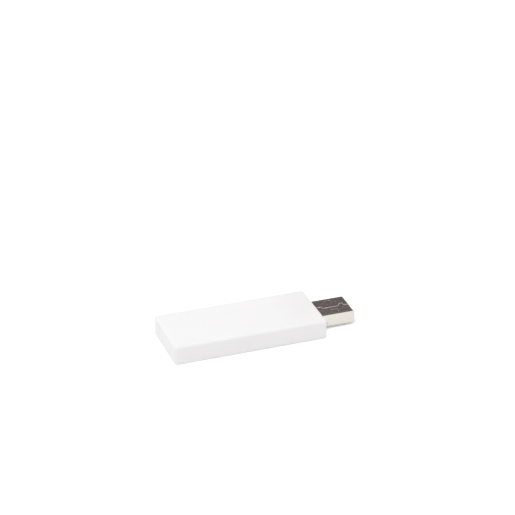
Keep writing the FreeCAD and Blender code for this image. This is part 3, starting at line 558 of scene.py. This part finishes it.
def clouded(first, second):
    """A body of one stuff, between two tones of its colour."""
    return lambda finish, here, cloud: finish.mix(cloud, first, second)


def outside_of(axis, middle, reach):
    """Everything that stands out beyond a body's two sides."""
    return lambda finish, here: abs(finish.along(here, axis) - middle) > reach


# Tin starts a hair outside the body, so that the body's own faces stay bare.
SKIN = 0.003
BLACK_EPOXY = clouded(colour(0.020, 0.020, 0.022), colour(0.036, 0.036, 0.038))
BRIDGE_WIDTH = 3.9
SMALL_WIDTH = 1.6
RADIO_WIDTH = 7.0
for chip, width in (("usb_bridge_chip", BRIDGE_WIDTH), ("surge_protector", SMALL_WIDTH),
                    ("voltage_regulator", SMALL_WIDTH)):
    legs = outside_of("Y", middle_of(chip).y, width / 2 + SKIN)
    dress(chip, tinned_part(chip + "_moulding", BLACK_EPOXY, 0.55, legs))


def radio_lands(finish, here):
    """The ends of the lands, which stand out beyond all four sides."""
    reach = RADIO_WIDTH / 2 + SKIN
    return (outside_of("X", radio.x, reach)(finish, here)
            | outside_of("Y", radio.y, reach)(finish, here))


dress("radio_chip", tinned_part("radio_chip_moulding", BLACK_EPOXY, 0.5, radio_lands))

# Crystal
# The radio's clock: a sliver of quartz in a tray of fired ceramic, with a plated lid welded on.
# It has a pad at each corner, and is soldered down with the chips.

CRYSTAL_LID = 0.25
lid_level = box_of("radio_crystal")[1].z - CRYSTAL_LID + SKIN
FIRED_TRAY = clouded(colour(0.060, 0.050, 0.046), colour(0.090, 0.076, 0.070))
dress("radio_crystal", tinned_part("crystal_lid", FIRED_TRAY, 0.6, lambda finish, here:
                                   finish.along(here, "Z") > lid_level))

# Buffer capacitor
# A pressed tantalum block in yellow epoxy, with a brown bar for its positive end and a tinned
# tongue folded round each end.

BAR_START, BAR_END = -1.25, -0.75
LEAD_SHEET = 0.15


def barred_epoxy(finish, here, cloud):
    """Yellow epoxy with the brown bar across it."""
    plain = finish.mix(cloud, colour(0.70, 0.42, 0.085), colour(0.80, 0.52, 0.130))
    along = finish.along(here, "X") - buffer.x
    bar = (along > BAR_START) * (along < BAR_END)
    return finish.mix(bar, plain, colour(0.200, 0.078, 0.030))


low, high = box_of("buffer_capacitor")
tongues = outside_of("X", buffer.x, (high.x - low.x) / 2 - LEAD_SHEET + SKIN)
dress("buffer_capacitor", tinned_part("buffer_moulding", barred_epoxy, 0.5, tongues))

# Capacitors, resistors, coils and bead
# Fired ceramic or ferrite blocks with a metal cap on each end. They come on a reel, and a
# machine sets them down in rows. The resistors are black on top, over a white ceramic.

CAP_LENGTH = 0.35


def capped(length):
    """The two metal ends of a block that lies across the board."""
    def ends(finish, here):
        across = finish.along(finish.add("TexCoord", {}, {}, "Generated"), "Y")
        return abs(across - 0.5) > 0.5 - CAP_LENGTH / length
    return ends


def printed_ceramic(finish, here, cloud):
    """White ceramic with the black resistive print on its top."""
    up = finish.along(finish.add("NewGeometry", {}, {}, "Normal"), "Z") > 0.5
    white = finish.mix(cloud, colour(0.70, 0.69, 0.66), colour(0.80, 0.79, 0.76))
    return finish.mix(up, white, colour(0.018, 0.018, 0.022))


TAN_CERAMIC = clouded(colour(0.40, 0.27, 0.16), colour(0.52, 0.38, 0.25))
GREY_FERRITE = clouded(colour(0.055, 0.053, 0.056), colour(0.095, 0.092, 0.096))
BLUE_CERAMIC = clouded(colour(0.10, 0.13, 0.20), colour(0.15, 0.19, 0.27))
BLOCK_LENGTH = 1.6
BEAD_LENGTH = 2.0
blocks = []
for word, count, body, length, roughness in (
        ("capacitor", 10, TAN_CERAMIC, BLOCK_LENGTH, 0.45),
        ("resistor", 5, printed_ceramic, BLOCK_LENGTH, 0.4),
        ("tuning_coil", 3, BLUE_CERAMIC, BLOCK_LENGTH, 0.5)):
    material = tinned_part(word + "_block", body, roughness, capped(length))
    for number in range(1, count + 1):
        blocks.append(f"{word}_{number}")
        dress(blocks[-1], material)
blocks.append("ferrite_bead")
dress("ferrite_bead", tinned_part("ferrite", GREY_FERRITE, 0.6, capped(BEAD_LENGTH)))

# Antenna
# One strip of tinned sheet, stamped out in a meander. Its foot is soldered to the board, and
# its free end lies on a rib of the base, as far as possible from the plug.

def tinned_strip(name, tones, roughness):
    """Tin plate with the fine lines of the rolling mill along the strip."""
    finish = Finish(name, {"Metallic": 1.0})
    here = finish.place()
    rolled = finish.noise(finish.stretched(here, (6.0, 0.6, 6.0)), 2.0, 3.0)
    cloud = finish.noise(here, 0.8)
    finish.show({
        "Base Color": finish.mix(cloud, *tones),
        "Roughness": roughness + 0.12 * (rolled - 0.5) + 0.05 * (cloud - 0.5),
        "Normal": finish.bump(rolled, 0.002),
    })
    return finish.material


dress("antenna_strip", tinned_strip("tinned_strip", (colour(0.70, 0.68, 0.64),
                                                     colour(0.80, 0.78, 0.73)), 0.28))

# Contacts of the plug
# Four strips stamped from bronze and plated: gold where they rub on a socket, and tin on the
# narrow tails that lie on the board. Their noses are turned into the tongue.

shell_low, shell_high = box_of("plug_shell")


def gilded_strip():
    """Gold over bronze, rubbed along the strip, and tin behind the plug."""
    finish = Finish("gilded_strip", {"Metallic": 1.0})
    here = finish.place()
    tail = finish.along(here, "X") < shell_low.x
    rubbed = finish.noise(finish.stretched(here, (0.4, 7.0, 7.0)), 2.0, 3.0)
    gold = finish.mix(rubbed, colour(0.80, 0.54, 0.20), colour(0.90, 0.66, 0.30))
    finish.show({
        "Base Color": finish.mix(tail, gold, colour(0.72, 0.70, 0.66)),
        "Roughness": 0.2 + 0.12 * (rubbed - 0.5) + 0.1 * tail,
        "Normal": finish.bump(rubbed, 0.002),
    })
    return finish.material


GILDED_STRIP = gilded_strip()
for contact in ("power_contact", "data_minus_contact", "data_plus_contact", "ground_contact"):
    dress(contact, GILDED_STRIP)

# Insulator of the plug
# A block of dark, glass-filled nylon with a tongue along its upper half. It is moulded in one
# shot, pushed into the shell from behind, and held there by the punch marks.

def dark_nylon():
    """Matt nylon, clouded by its glass fibres, which lie along the flow."""
    finish = Finish("black_moulding", {"IOR": 1.53})
    here = finish.place()
    fibres = finish.noise(finish.stretched(here, (2.0, 9.0, 9.0)), 1.0, 3.0)
    cloud = finish.noise(here, 0.5)
    finish.show({
        "Base Color": finish.mix(cloud, colour(0.079, 0.064, 0.062), colour(0.101, 0.083, 0.080)),
        "Roughness": 0.55 + 0.2 * (fibres - 0.5),
        "Normal": finish.bump(fibres, 0.004),
    })
    return finish.material


dress("plug_insulator", dark_nylon())

# Shell of the plug
# A strip of nickel-plated sheet steel. It is punched flat, with its windows and with the tongue
# and notch of its dovetail, and folded into a tube whose two ends lock in a seam on top.
# Two flaps are turned out of its lower corners as ears, whose legs are soldered to the board.

SHEET = 0.3
FOLD = 0.5
SHELL_WIDTH = 12.0
SEAM_PLACE = -0.45
SEAM_GAP = 0.08

# The strip is laid out by its outer face. It starts and ends at the seam on top.
shell_rear, shell_tip = shell_low.x, shell_high.x
shell_bottom, shell_top = shell_low.z, shell_high.z
flat_width = SHELL_WIDTH - 2 * FOLD
flat_height = shell_top - shell_bottom - 2 * FOLD
quarter = FOLD * math.pi / 2
first_flat = flat_width / 2 + SEAM_PLACE
strip_width = 2 * flat_width + 2 * flat_height + 4 * quarter
# Each run of the strip's way round the plug: its length, and how far it turns.
tube_way = [(first_flat, 0.0), (quarter, math.pi / 2), (flat_height, 0.0), (quarter, math.pi / 2),
            (flat_width, 0.0), (quarter, math.pi / 2), (flat_height, 0.0), (quarter, math.pi / 2),
            (flat_width - first_flat, 0.0)]


def folded(way, start, heading, along):
    """Where a line of the flat strip ends up: its (y, z), and the outward direction there."""
    y, z = start
    for index, (length, turn) in enumerate(way):
        step = along if index == len(way) - 1 else min(along, length)
        if turn:
            bend = length / turn
            turned = heading + step / bend
            y += bend * (math.sin(turned) - math.sin(heading))
            z -= bend * (math.cos(turned) - math.cos(heading))
            heading = turned
        else:
            y += step * math.cos(heading)
            z += step * math.sin(heading)
        along -= step
        if along <= 0.0:
            break
    return y, z, Vector((0.0, math.sin(heading), -math.cos(heading)))


def top_line(y):
    """Where a place across the top of the plug lies along the strip."""
    return SEAM_PLACE - y if y < SEAM_PLACE else strip_width - (y - SEAM_PLACE)


def near_line(z):
    """Where a level on the plug's near side lies along the strip."""
    return first_flat + quarter + shell_top - FOLD - z


def bottom_line(y):
    """Where a place across the bottom of the plug lies along the strip."""
    return first_flat + 2 * quarter + flat_height + y + flat_width / 2


def far_line(z):
    """Where a level on the plug's far side lies along the strip."""
    return first_flat + 3 * quarter + flat_height + flat_width + z - shell_bottom - FOLD


def rounded_box(low_x, high_x, low_y, high_y, radius):
    """Corner points of a box with round corners, counter-clockwise."""
    points = []
    for start, x, y in ((0, high_x - radius, high_y - radius), (1, low_x + radius, high_y - radius),
                        (2, low_x + radius, low_y + radius), (3, high_x - radius, low_y + radius)):
        for step in range(ROUND_STEPS + 1):
            angle = (start + step / ROUND_STEPS) * math.pi / 2
            points.append((x + radius * math.cos(angle), y + radius * math.sin(angle)))
    return points


# Course of the seam: distance from the tip and place across the plug, with a tongue near the
# tip and a dovetail near the housing.
seam_course = [(0.0, SEAM_PLACE), (1.8, SEAM_PLACE), (2.0, 1.05), (3.1, 1.05), (4.0, SEAM_PLACE),
               (10.15, SEAM_PLACE), (9.95, 0.75), (12.85, 0.75), (12.65, SEAM_PLACE),
               (shell_tip - shell_rear, SEAM_PLACE)]
WINDOW_FROM_TIP = 5.25
WINDOW_LENGTH = 2.3
WINDOW_WIDTH = 2.1
WINDOW_OFFSET = 3.3
WINDOW_ROUND = 0.2
ROUND_STEPS = 4
PUNCH_FROM_TIP = 10.4
PUNCH_HEIGHT = 1.4
PUNCH_RADIUS = 0.42
PUNCH_DEPTH = 0.2
PUNCH_FLAT = 0.6
PUNCH_RINGS = (1.0, 0.93, 0.8, 0.67, PUNCH_FLAT)
PUNCH_STEPS = 16
LEAD_IN = 0.7
LEAD_IN_DEPTH = 0.1
LEAD_IN_STEPS = 4
FOLD_STEPS = 8

# The ears: where their flaps lie, and their way out over the board and down through it.
EAR_FROM_REAR = 0.6
EAR_LENGTH = 2.0
EAR_RELIEF = 0.1
EAR_HOLE_REACH = 4.8
EAR_INNER_BEND = 0.1
EAR_OUTER_BEND = 0.4
LEG_END = 0.6
leg_face = shell_high.y
leg_bottom = shell_bottom + LEG_END
ear_root = board_top + SHEET + EAR_INNER_BEND
ear_way = [(EAR_INNER_BEND * math.pi / 2, -math.pi / 2),
           (leg_face - SHELL_WIDTH / 2 - EAR_INNER_BEND - EAR_OUTER_BEND, 0.0),
           (EAR_OUTER_BEND * math.pi / 2, math.pi / 2),
           (board_top + SHEET - EAR_OUTER_BEND - leg_bottom, 0.0)]
ear_reach = sum(length for length, turn in ear_way)
flap_start = near_line(ear_root)
flap_room = bottom_line(-EAR_HOLE_REACH) - flap_start
flap_share = (flap_room - EAR_RELIEF) / ear_reach
ear_span = (shell_rear + EAR_FROM_REAR, shell_rear + EAR_FROM_REAR + EAR_LENGTH)

front_edge = [(shell_tip - along, SEAM_PLACE - across)
              for along, across in beside(seam_course, -SEAM_GAP / 2)]
back_edge = [(shell_tip - along, strip_width - (across - SEAM_PLACE))
             for along, across in beside(seam_course, SEAM_GAP / 2)]
outline = front_edge + back_edge[::-1]
holes = []
for offset in (WINDOW_OFFSET, -WINDOW_OFFSET):
    for line in (top_line, bottom_line):
        middle = line(offset)
        holes.append(rounded_box(shell_tip - WINDOW_FROM_TIP - WINDOW_LENGTH,
                                 shell_tip - WINDOW_FROM_TIP,
                                 middle - WINDOW_WIDTH / 2, middle + WINDOW_WIDTH / 2,
                                 WINDOW_ROUND))
whole_round = bottom_line(0.0) * 2
ear_sides = [(flap_start, 1), (whole_round - flap_start, -1)]
for root, sign in ear_sides:
    end = root + sign * flap_room
    flap_end = root + sign * flap_share * ear_reach
    low, high = ear_span
    holes.append([(low - EAR_RELIEF, root), (low - EAR_RELIEF, end), (high + EAR_RELIEF, end),
                  (high + EAR_RELIEF, root), (high, root), (high, flap_end), (low, flap_end),
                  (low, root)])
punches = [(shell_tip - PUNCH_FROM_TIP, line(shell_bottom + PUNCH_HEIGHT))
           for line in (near_line, far_line)]
loops = [outline] + holes
for x, along in punches:
    loops += [ring(x, along, PUNCH_RADIUS * share, PUNCH_STEPS) for share in PUNCH_RINGS]


def bend_lines(way):
    """The lines across a strip at which it is creased in small steps."""
    lines = []
    along = 0.0
    for length, turn in way:
        if turn:
            lines += [along + length * step / FOLD_STEPS for step in range(FOLD_STEPS + 1)]
        along += length
    return lines


points, edges = [], []
for loop in loops:
    start = len(points)
    points += loop
    edges += [(start + i, start + (i + 1) % len(loop)) for i in range(len(loop))]
creases = [((shell_rear, line), (shell_tip, line)) for line in bend_lines(tube_way)]
for step in range(1, LEAD_IN_STEPS + 1):
    x = shell_tip - LEAD_IN * step / LEAD_IN_STEPS
    creases.append(((x, -SEAM_GAP), (x, strip_width + SEAM_GAP)))
for root, sign in ear_sides:
    for level in bend_lines(ear_way):
        line = root + sign * flap_share * level
        creases.append(((ear_span[0], line), (ear_span[1], line)))
for crease in creases:
    edges.append((len(points), len(points) + 1))
    points += crease
# The outline is filled with triangles that keep to every edge, and points that lie closer than
# SNAP become one.
WITHIN_OUTLINE = 1
SNAP = 1e-5
flat_points, _, flat_faces, *_ = delaunay_2d_cdt(
    [Vector(point) for point in points], edges, [], WITHIN_OUTLINE, SNAP)


def inside(point, loop):
    """Whether a point lies within a closed loop."""
    within = False
    for (x1, y1), (x2, y2) in zip(loop, loop[1:] + loop[:1]):
        if (y1 > point.y) != (y2 > point.y):
            if point.x < x1 + (x2 - x1) * (point.y - y1) / (y2 - y1):
                within = not within
    return within


# Two places that differ by less than this are the same.
HAIR = 1e-4


def sheet_point(point):
    """Fold one point of the flat strip, with the lead-in at the tip and the punch marks."""
    y, z, outward = folded(tube_way, (SEAM_PLACE, shell_top), math.pi, point.y)
    if ear_span[0] - HAIR < point.x < ear_span[1] + HAIR:
        for root, sign in ear_sides:
            out = sign * (point.y - root) / flap_share
            if 0.0 <= out < ear_reach + HAIR:
                y, z, outward = folded(ear_way, (-SHELL_WIDTH / 2, ear_root), -math.pi / 2, out)
                y *= sign
                outward.y *= sign
    sink = LEAD_IN_DEPTH * max(0.0, 1 - (shell_tip - point.x) / LEAD_IN) ** 2
    for x, along in punches:
        share = math.hypot(point.x - x, point.y - along) / PUNCH_RADIUS
        slope = min(1.0, max(0.0, (1.0 - share) / (1.0 - PUNCH_FLAT)))
        sink += PUNCH_DEPTH * slope * slope * (3 - 2 * slope)
    return (Vector((point.x, y, z)) - outward * sink) * MM


# Faces that turn from each other by less than this angle, in radians, are joined.
FLAT_TURN = 0.002
shell_mesh = bmesh.new()
corners = [shell_mesh.verts.new(sheet_point(point)) for point in flat_points]
for face in flat_faces:
    middle = sum((flat_points[i] for i in face), Vector((0, 0))) / len(face)
    if inside(middle, outline) and not any(inside(middle, hole) for hole in holes):
        shell_mesh.faces.new([corners[i] for i in reversed(face)])
bmesh.ops.delete(shell_mesh, geom=[v for v in shell_mesh.verts if not v.link_faces], context="VERTS")
bmesh.ops.dissolve_limit(shell_mesh, angle_limit=FLAT_TURN, verts=shell_mesh.verts[:],
                         edges=shell_mesh.edges[:])
# Cut edges are rolled over a little, those of the windows and of the seam's steps the least.
EDGE_ROLL = 0.08
WINDOW_ROLL = 0.6
STEP_ROLL = 0.4
window_middle = shell_tip - WINDOW_FROM_TIP - WINDOW_LENGTH / 2
edge_roll = shell_mesh.edges.layers.float.new("bevel_weight_edge")
for edge in shell_mesh.edges:
    if edge.is_boundary:
        spot = (edge.verts[0].co + edge.verts[1].co) / 2 / MM
        leg = edge.verts[1].co - edge.verts[0].co
        if (abs(spot.x - window_middle) < WINDOW_LENGTH / 2 + HAIR
                and abs(abs(spot.y) - WINDOW_OFFSET) < WINDOW_WIDTH / 2 + HAIR):
            edge[edge_roll] = WINDOW_ROLL
        elif shell_rear + HAIR < spot.x < shell_tip - HAIR and abs(leg.y) > 2 * abs(leg.x):
            edge[edge_roll] = STEP_ROLL
        else:
            edge[edge_roll] = 1.0


def plated_sheet():
    """Bright nickel, dulled towards the tip, with faint drawing lines and a few rubbed streaks."""
    finish = Finish("plated_sheet", {"Metallic": 1.0})
    here = finish.place()
    drawn = finish.noise(finish.stretched(here, (0.15, 1.4, 1.4)), 1.0, 4.0)
    rubbed = finish.noise(finish.stretched(here, (0.5, 2.2, 2.2)), 1.3, 1.0) > 0.66
    wall = box_of("upper_housing")[1].x
    dulled = (finish.along(here, "X") - wall) * (1 / (shell_tip - wall))
    first, second = (finish.mix(dulled, clean, dull) for clean, dull in (
        (colour(0.815, 0.805, 0.725), colour(0.770, 0.742, 0.690)),
        (colour(0.850, 0.825, 0.750), colour(0.805, 0.762, 0.712))))
    finish.show({
        "Base Color": finish.mix(drawn, first, second),
        "Roughness": 0.15 + 0.06 * (drawn - 0.5) + 0.1 * rubbed,
        "Normal": finish.bump(drawn, 0.001),
    })
    return finish.material


shell = new_piece("folded_shell", shell_mesh, plated_sheet())
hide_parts("plug_shell")
thickness = shell.modifiers.new("Sheet", "SOLIDIFY")
thickness.thickness = SHEET * MM
thickness.offset = -1.0
thickness.use_even_offset = True
rolled = shell.modifiers.new("RolledEdges", "BEVEL")
rolled.width = EDGE_ROLL * MM
rolled.segments = 3
rolled.limit_method = "WEIGHT"
rolled.use_clamp_overlap = False
shell.modifiers.new("Even", "WEIGHTED_NORMAL").keep_sharp = True

# Solder
# Tin that has run up every leg, cap and land in the oven, and up the legs of the shell in the
# wave. Each joint is a hollow fillet between the metal and its pad. Bare pads are tinned too.

# How far each kind of joint reaches over its pad, how wide it is, and how far up it creeps. On a
# block it is as wide as the block and creeps up a share of its height.
BRIDGE_JOINT = (0.3, 0.3, 0.14)
SMALL_JOINT = (0.3, 0.5, 0.14)
LAND_JOINT = (0.3, 0.3, 0.17)
CRYSTAL_JOINT = (0.3, 0.9, 0.3)
TONGUE_JOINT = (0.45, 1.9, 0.5)
TAIL_JOINT = (0.45, 0.75, 0.17)
FOOT_JOINT = (0.5, 1.3, 0.34)
EAR_JOINT = (0.45, 2.2, 0.45)
BLOCK_JOINT_REACH = 0.32
BLOCK_JOINT_SHARE = 0.7
PAD_EDGE = 0.03
OVERLAP = 0.04
HOLLOW = 2.2
FILLET_STEPS = 5
# Places across a joint, as shares of its width, and how full its fillet is there.
FULLNESS = ((-0.5, 0.4), (-0.32, 1.0), (0.32, 1.0), (0.5, 0.4))
PAD_PROFILE = [(0.5, -SUNK), (0.5, PAD_EDGE), (0.44, 0.06), (0.25, 0.075)]


def add_joint(mesh, foot, way, reach, width, rise, level=board_top, up=1.0):
    """One fillet, from a foot on the metal out along a way over the pad. Under the board up is -1."""
    way = Vector(way)
    side = Vector((-way.y, way.x))
    sections = []
    for place, share in FULLNESS:
        top = PAD_EDGE + (rise - PAD_EDGE) * share
        length = reach * (0.6 + 0.4 * share)
        profile = [(-OVERLAP, -OVERLAP), (length, -OVERLAP)]
        for step in range(FILLET_STEPS + 1):
            part = step / FILLET_STEPS
            profile.append((length * (1 - part), PAD_EDGE + (top - PAD_EDGE) * part ** HOLLOW))
        profile.append((-OVERLAP, top))
        section = []
        for out, height in profile:
            spot = Vector(foot) + way * out + side * place * width
            section.append((spot.x, spot.y, level + up * height))
        sections.append(section)
    add_tube(mesh, sections)


solder_mesh = bmesh.new()
for chip, near_count, far_count, pitch, joint in (
        ("usb_bridge_chip", BRIDGE_LEADS_PER_SIDE, BRIDGE_LEADS_PER_SIDE, BRIDGE_PITCH, BRIDGE_JOINT),
        ("surge_protector", 3, 3, SMALL_PITCH, SMALL_JOINT),
        ("voltage_regulator", 3, 2, SMALL_PITCH, SMALL_JOINT)):
    low, high = box_of(chip)
    row = pitch * (near_count - 1)
    for y, sign, count in ((low.y, -1, near_count), (high.y, 1, far_count)):
        for number in range(count):
            x = (low.x + high.x) / 2 - row / 2 + row * number / (count - 1)
            add_joint(solder_mesh, (x, y), (0, sign), *joint)
low, high = box_of("radio_chip")
for number in range(LANDS_PER_SIDE):
    for foot, way in (((radio.x + land(number), low.y), (0, -1)),
                      ((radio.x + land(number), high.y), (0, 1)),
                      ((low.x, radio.y + land(number)), (-1, 0)),
                      ((high.x, radio.y + land(number)), (1, 0))):
        add_joint(solder_mesh, foot, way, *LAND_JOINT)
for block in blocks:
    low, high = box_of(block)
    for y, sign in ((low.y, -1), (high.y, 1)):
        add_joint(solder_mesh, ((low.x + high.x) / 2, y), (0, sign), BLOCK_JOINT_REACH,
                  high.x - low.x, BLOCK_JOINT_SHARE * (high.z - low.z))
low, high = box_of("radio_crystal")
for x in (crystal.x - CRYSTAL_REACH, crystal.x + CRYSTAL_REACH):
    for y, sign in ((low.y, -1), (high.y, 1)):
        add_joint(solder_mesh, (x, y), (0, sign), *CRYSTAL_JOINT)
low, high = box_of("buffer_capacitor")
for x, sign in ((low.x, -1), (high.x, 1)):
    add_joint(solder_mesh, (x, buffer.y), (sign, 0), *TONGUE_JOINT)
for line in (-POWER_LINE, -DATA_LINE, DATA_LINE, POWER_LINE):
    add_joint(solder_mesh, (tail_end, line), (-1, 0), *TAIL_JOINT)
add_joint(solder_mesh, (foot_end, ANTENNA_LINE), (1, 0), *FOOT_JOINT)
ear_middle = sum(ear_span) / 2
for sign in (-1, 1):
    for face, way in ((leg_face, 1), (leg_face - SHEET, -1)):
        add_joint(solder_mesh, (ear_middle, sign * face), (0, sign * way), *EAR_JOINT,
                  level=board_bottom, up=-1.0)
for spot in bare_pads:
    add_disc(solder_mesh, spot, PAD_PROFILE)
BRIGHT_SOLDER = tinned_strip("bright_solder", (colour(0.74, 0.73, 0.70),
                                               colour(0.84, 0.83, 0.80)), 0.22)
crisp_piece("solder_joints", solder_mesh, BRIGHT_SOLDER, 45)

# Cover of the housing
# The other white moulding, of the same ABS: roof and walls in one, with hollow posts that
# press the board down. It snaps over the hooks of the base, and its plain top is left bare.

dress("upper_housing", WHITE_PLASTIC)

# Floor and light
# A white table in a white room, lit softly from the left, as for a catalogue. A glowing card behind
# the plug, seen in mirrors alone, paints a dark reflection on the metal of its top, and a smaller
# lamp gives bare metal its glints.

# Half the length of the table's sides, in metres, and how much it glows for the camera.
TABLE_HALF = 3.0
TABLE_GLOW = 0.26


def flat_sheet(name, corners, material):
    """A plain sheet that is scenery."""
    sheet = bpy.data.objects.new(name, bpy.data.meshes.new(name))
    sheet.data.from_pydata(corners, [], [(0, 1, 2, 3)])
    sheet.data.materials.append(material)
    bpy.context.scene.collection.objects.link(sheet)
    return sheet


# The table glows for the camera alone, so that of the shadow only the deep part under the stick
# is left.
table = Finish("white_table", {"Base Color": colour(0.94, 0.94, 0.94), "Roughness": 0.9,
                               "Specular IOR Level": 0.0, "Emission Strength": 1.0})
seen = table.add("LightPath", {}, {}, "Is Camera Ray")
table.show({"Emission Color": table.mix(seen, colour(0.0, 0.0, 0.0),
                                        colour(TABLE_GLOW, TABLE_GLOW, TABLE_GLOW))})
flat_sheet("table", [(-TABLE_HALF, -TABLE_HALF, 0), (TABLE_HALF, -TABLE_HALF, 0),
                     (TABLE_HALF, TABLE_HALF, 0), (-TABLE_HALF, TABLE_HALF, 0)], table.material)

# The room lights the object at this level, and is full white where it is seen, also in a mirror.
ROOM_LIGHT = 0.8
bpy.context.scene.world = bpy.data.worlds.new("white_room")
bpy.context.scene.world.use_nodes = True
room = Nodes(bpy.context.scene.world.node_tree)
seen, mirrored, seen_through = (
    room.add("LightPath", {}, {}, ray)
    for ray in ("Is Camera Ray", "Is Glossy Ray", "Is Transmission Ray"))
walls = room.tree.nodes["Background"].inputs
room.feed(walls["Color"], colour(1.0, 1.0, 1.0))
room.feed(walls["Strength"], ROOM_LIGHT + (1.0 - ROOM_LIGHT) * (seen | mirrored | seen_through))

# Flat metal that mirrored the broad lamp would burn out, so metal shows only the smaller one, a
# little behind it. Each lamp has its width in metres, its power in watts, and its distance as a
# share of the spot's.
LAMP_SPOT = Vector((-0.26, -0.10, 0.80))
for name, width, power, distance, is_mirrored in (("softbox", 0.9, 1.68, 1.0, False),
                                                  ("glint", 0.55, 1.03, 1.02, True)):
    lamp = bpy.data.objects.new(name, bpy.data.lights.new(name, "AREA"))
    lamp.data.shape = "DISK"
    lamp.data.size = width
    lamp.data.energy = power
    lamp.visible_glossy = is_mirrored
    lamp.location = LAMP_SPOT * distance
    lamp.rotation_euler = (-LAMP_SPOT).to_track_quat("-Z", "Y").to_euler()
    bpy.context.scene.collection.objects.link(lamp)

# The card's edges, in metres. Seen from the camera, the plug's flat top mirrors nothing else, so the
# card paints the reflection on it.
CARD_REAR, CARD_TIP = 0.026, 0.062
CARD_FOOT, CARD_HEAD = 0.017, 0.045
CARD_BACK = 0.045
# The card's glow is a dim set tint that stands in for dark shade round the object: a painted
# reflection on the plug's top.
card = Finish("painted_reflection_card", {"Base Color": colour(0.0, 0.0, 0.0), "Roughness": 1.0,
                            "Specular IOR Level": 0.0, "Emission Strength": 1.0,
                            "Emission Color": colour(0.143, 0.115, 0.126)})
painted_reflection_card = flat_sheet("painted_reflection_card", [(CARD_REAR, CARD_BACK, CARD_FOOT),
                                     (CARD_TIP, CARD_BACK, CARD_FOOT),
                                     (CARD_TIP, CARD_BACK, CARD_HEAD),
                                     (CARD_REAR, CARD_BACK, CARD_HEAD)], card.material)
# The card is hidden from the camera, gives no light to other surfaces and casts no shadow, so all it
# does is paint a reflection.
painted_reflection_card.visible_camera = False
painted_reflection_card.visible_diffuse = False
painted_reflection_card.visible_shadow = False

# Camera
# It stands where the photograph's perspective puts it: its place and its two angles come from
# a fit to the edges of the housing and the plug.

CAMERA_PLACE = Vector((-211.0, -587.8, 356.2)) * MM
CAMERA_TURN = math.radians(-19.746)
CAMERA_DIP = math.radians(27.615)
LENS = 143.73
FILM_WIDTH = 36.0
camera = bpy.data.objects.new("camera", bpy.data.cameras.new("camera"))
camera.data.lens = LENS
camera.data.sensor_width = FILM_WIDTH
camera.location = CAMERA_PLACE
camera.rotation_euler = (math.pi / 2 - CAMERA_DIP, 0.0, CAMERA_TURN)
bpy.context.scene.collection.objects.link(camera)
bpy.context.scene.camera = camera
bpy.context.scene.view_settings.view_transform = "Standard"
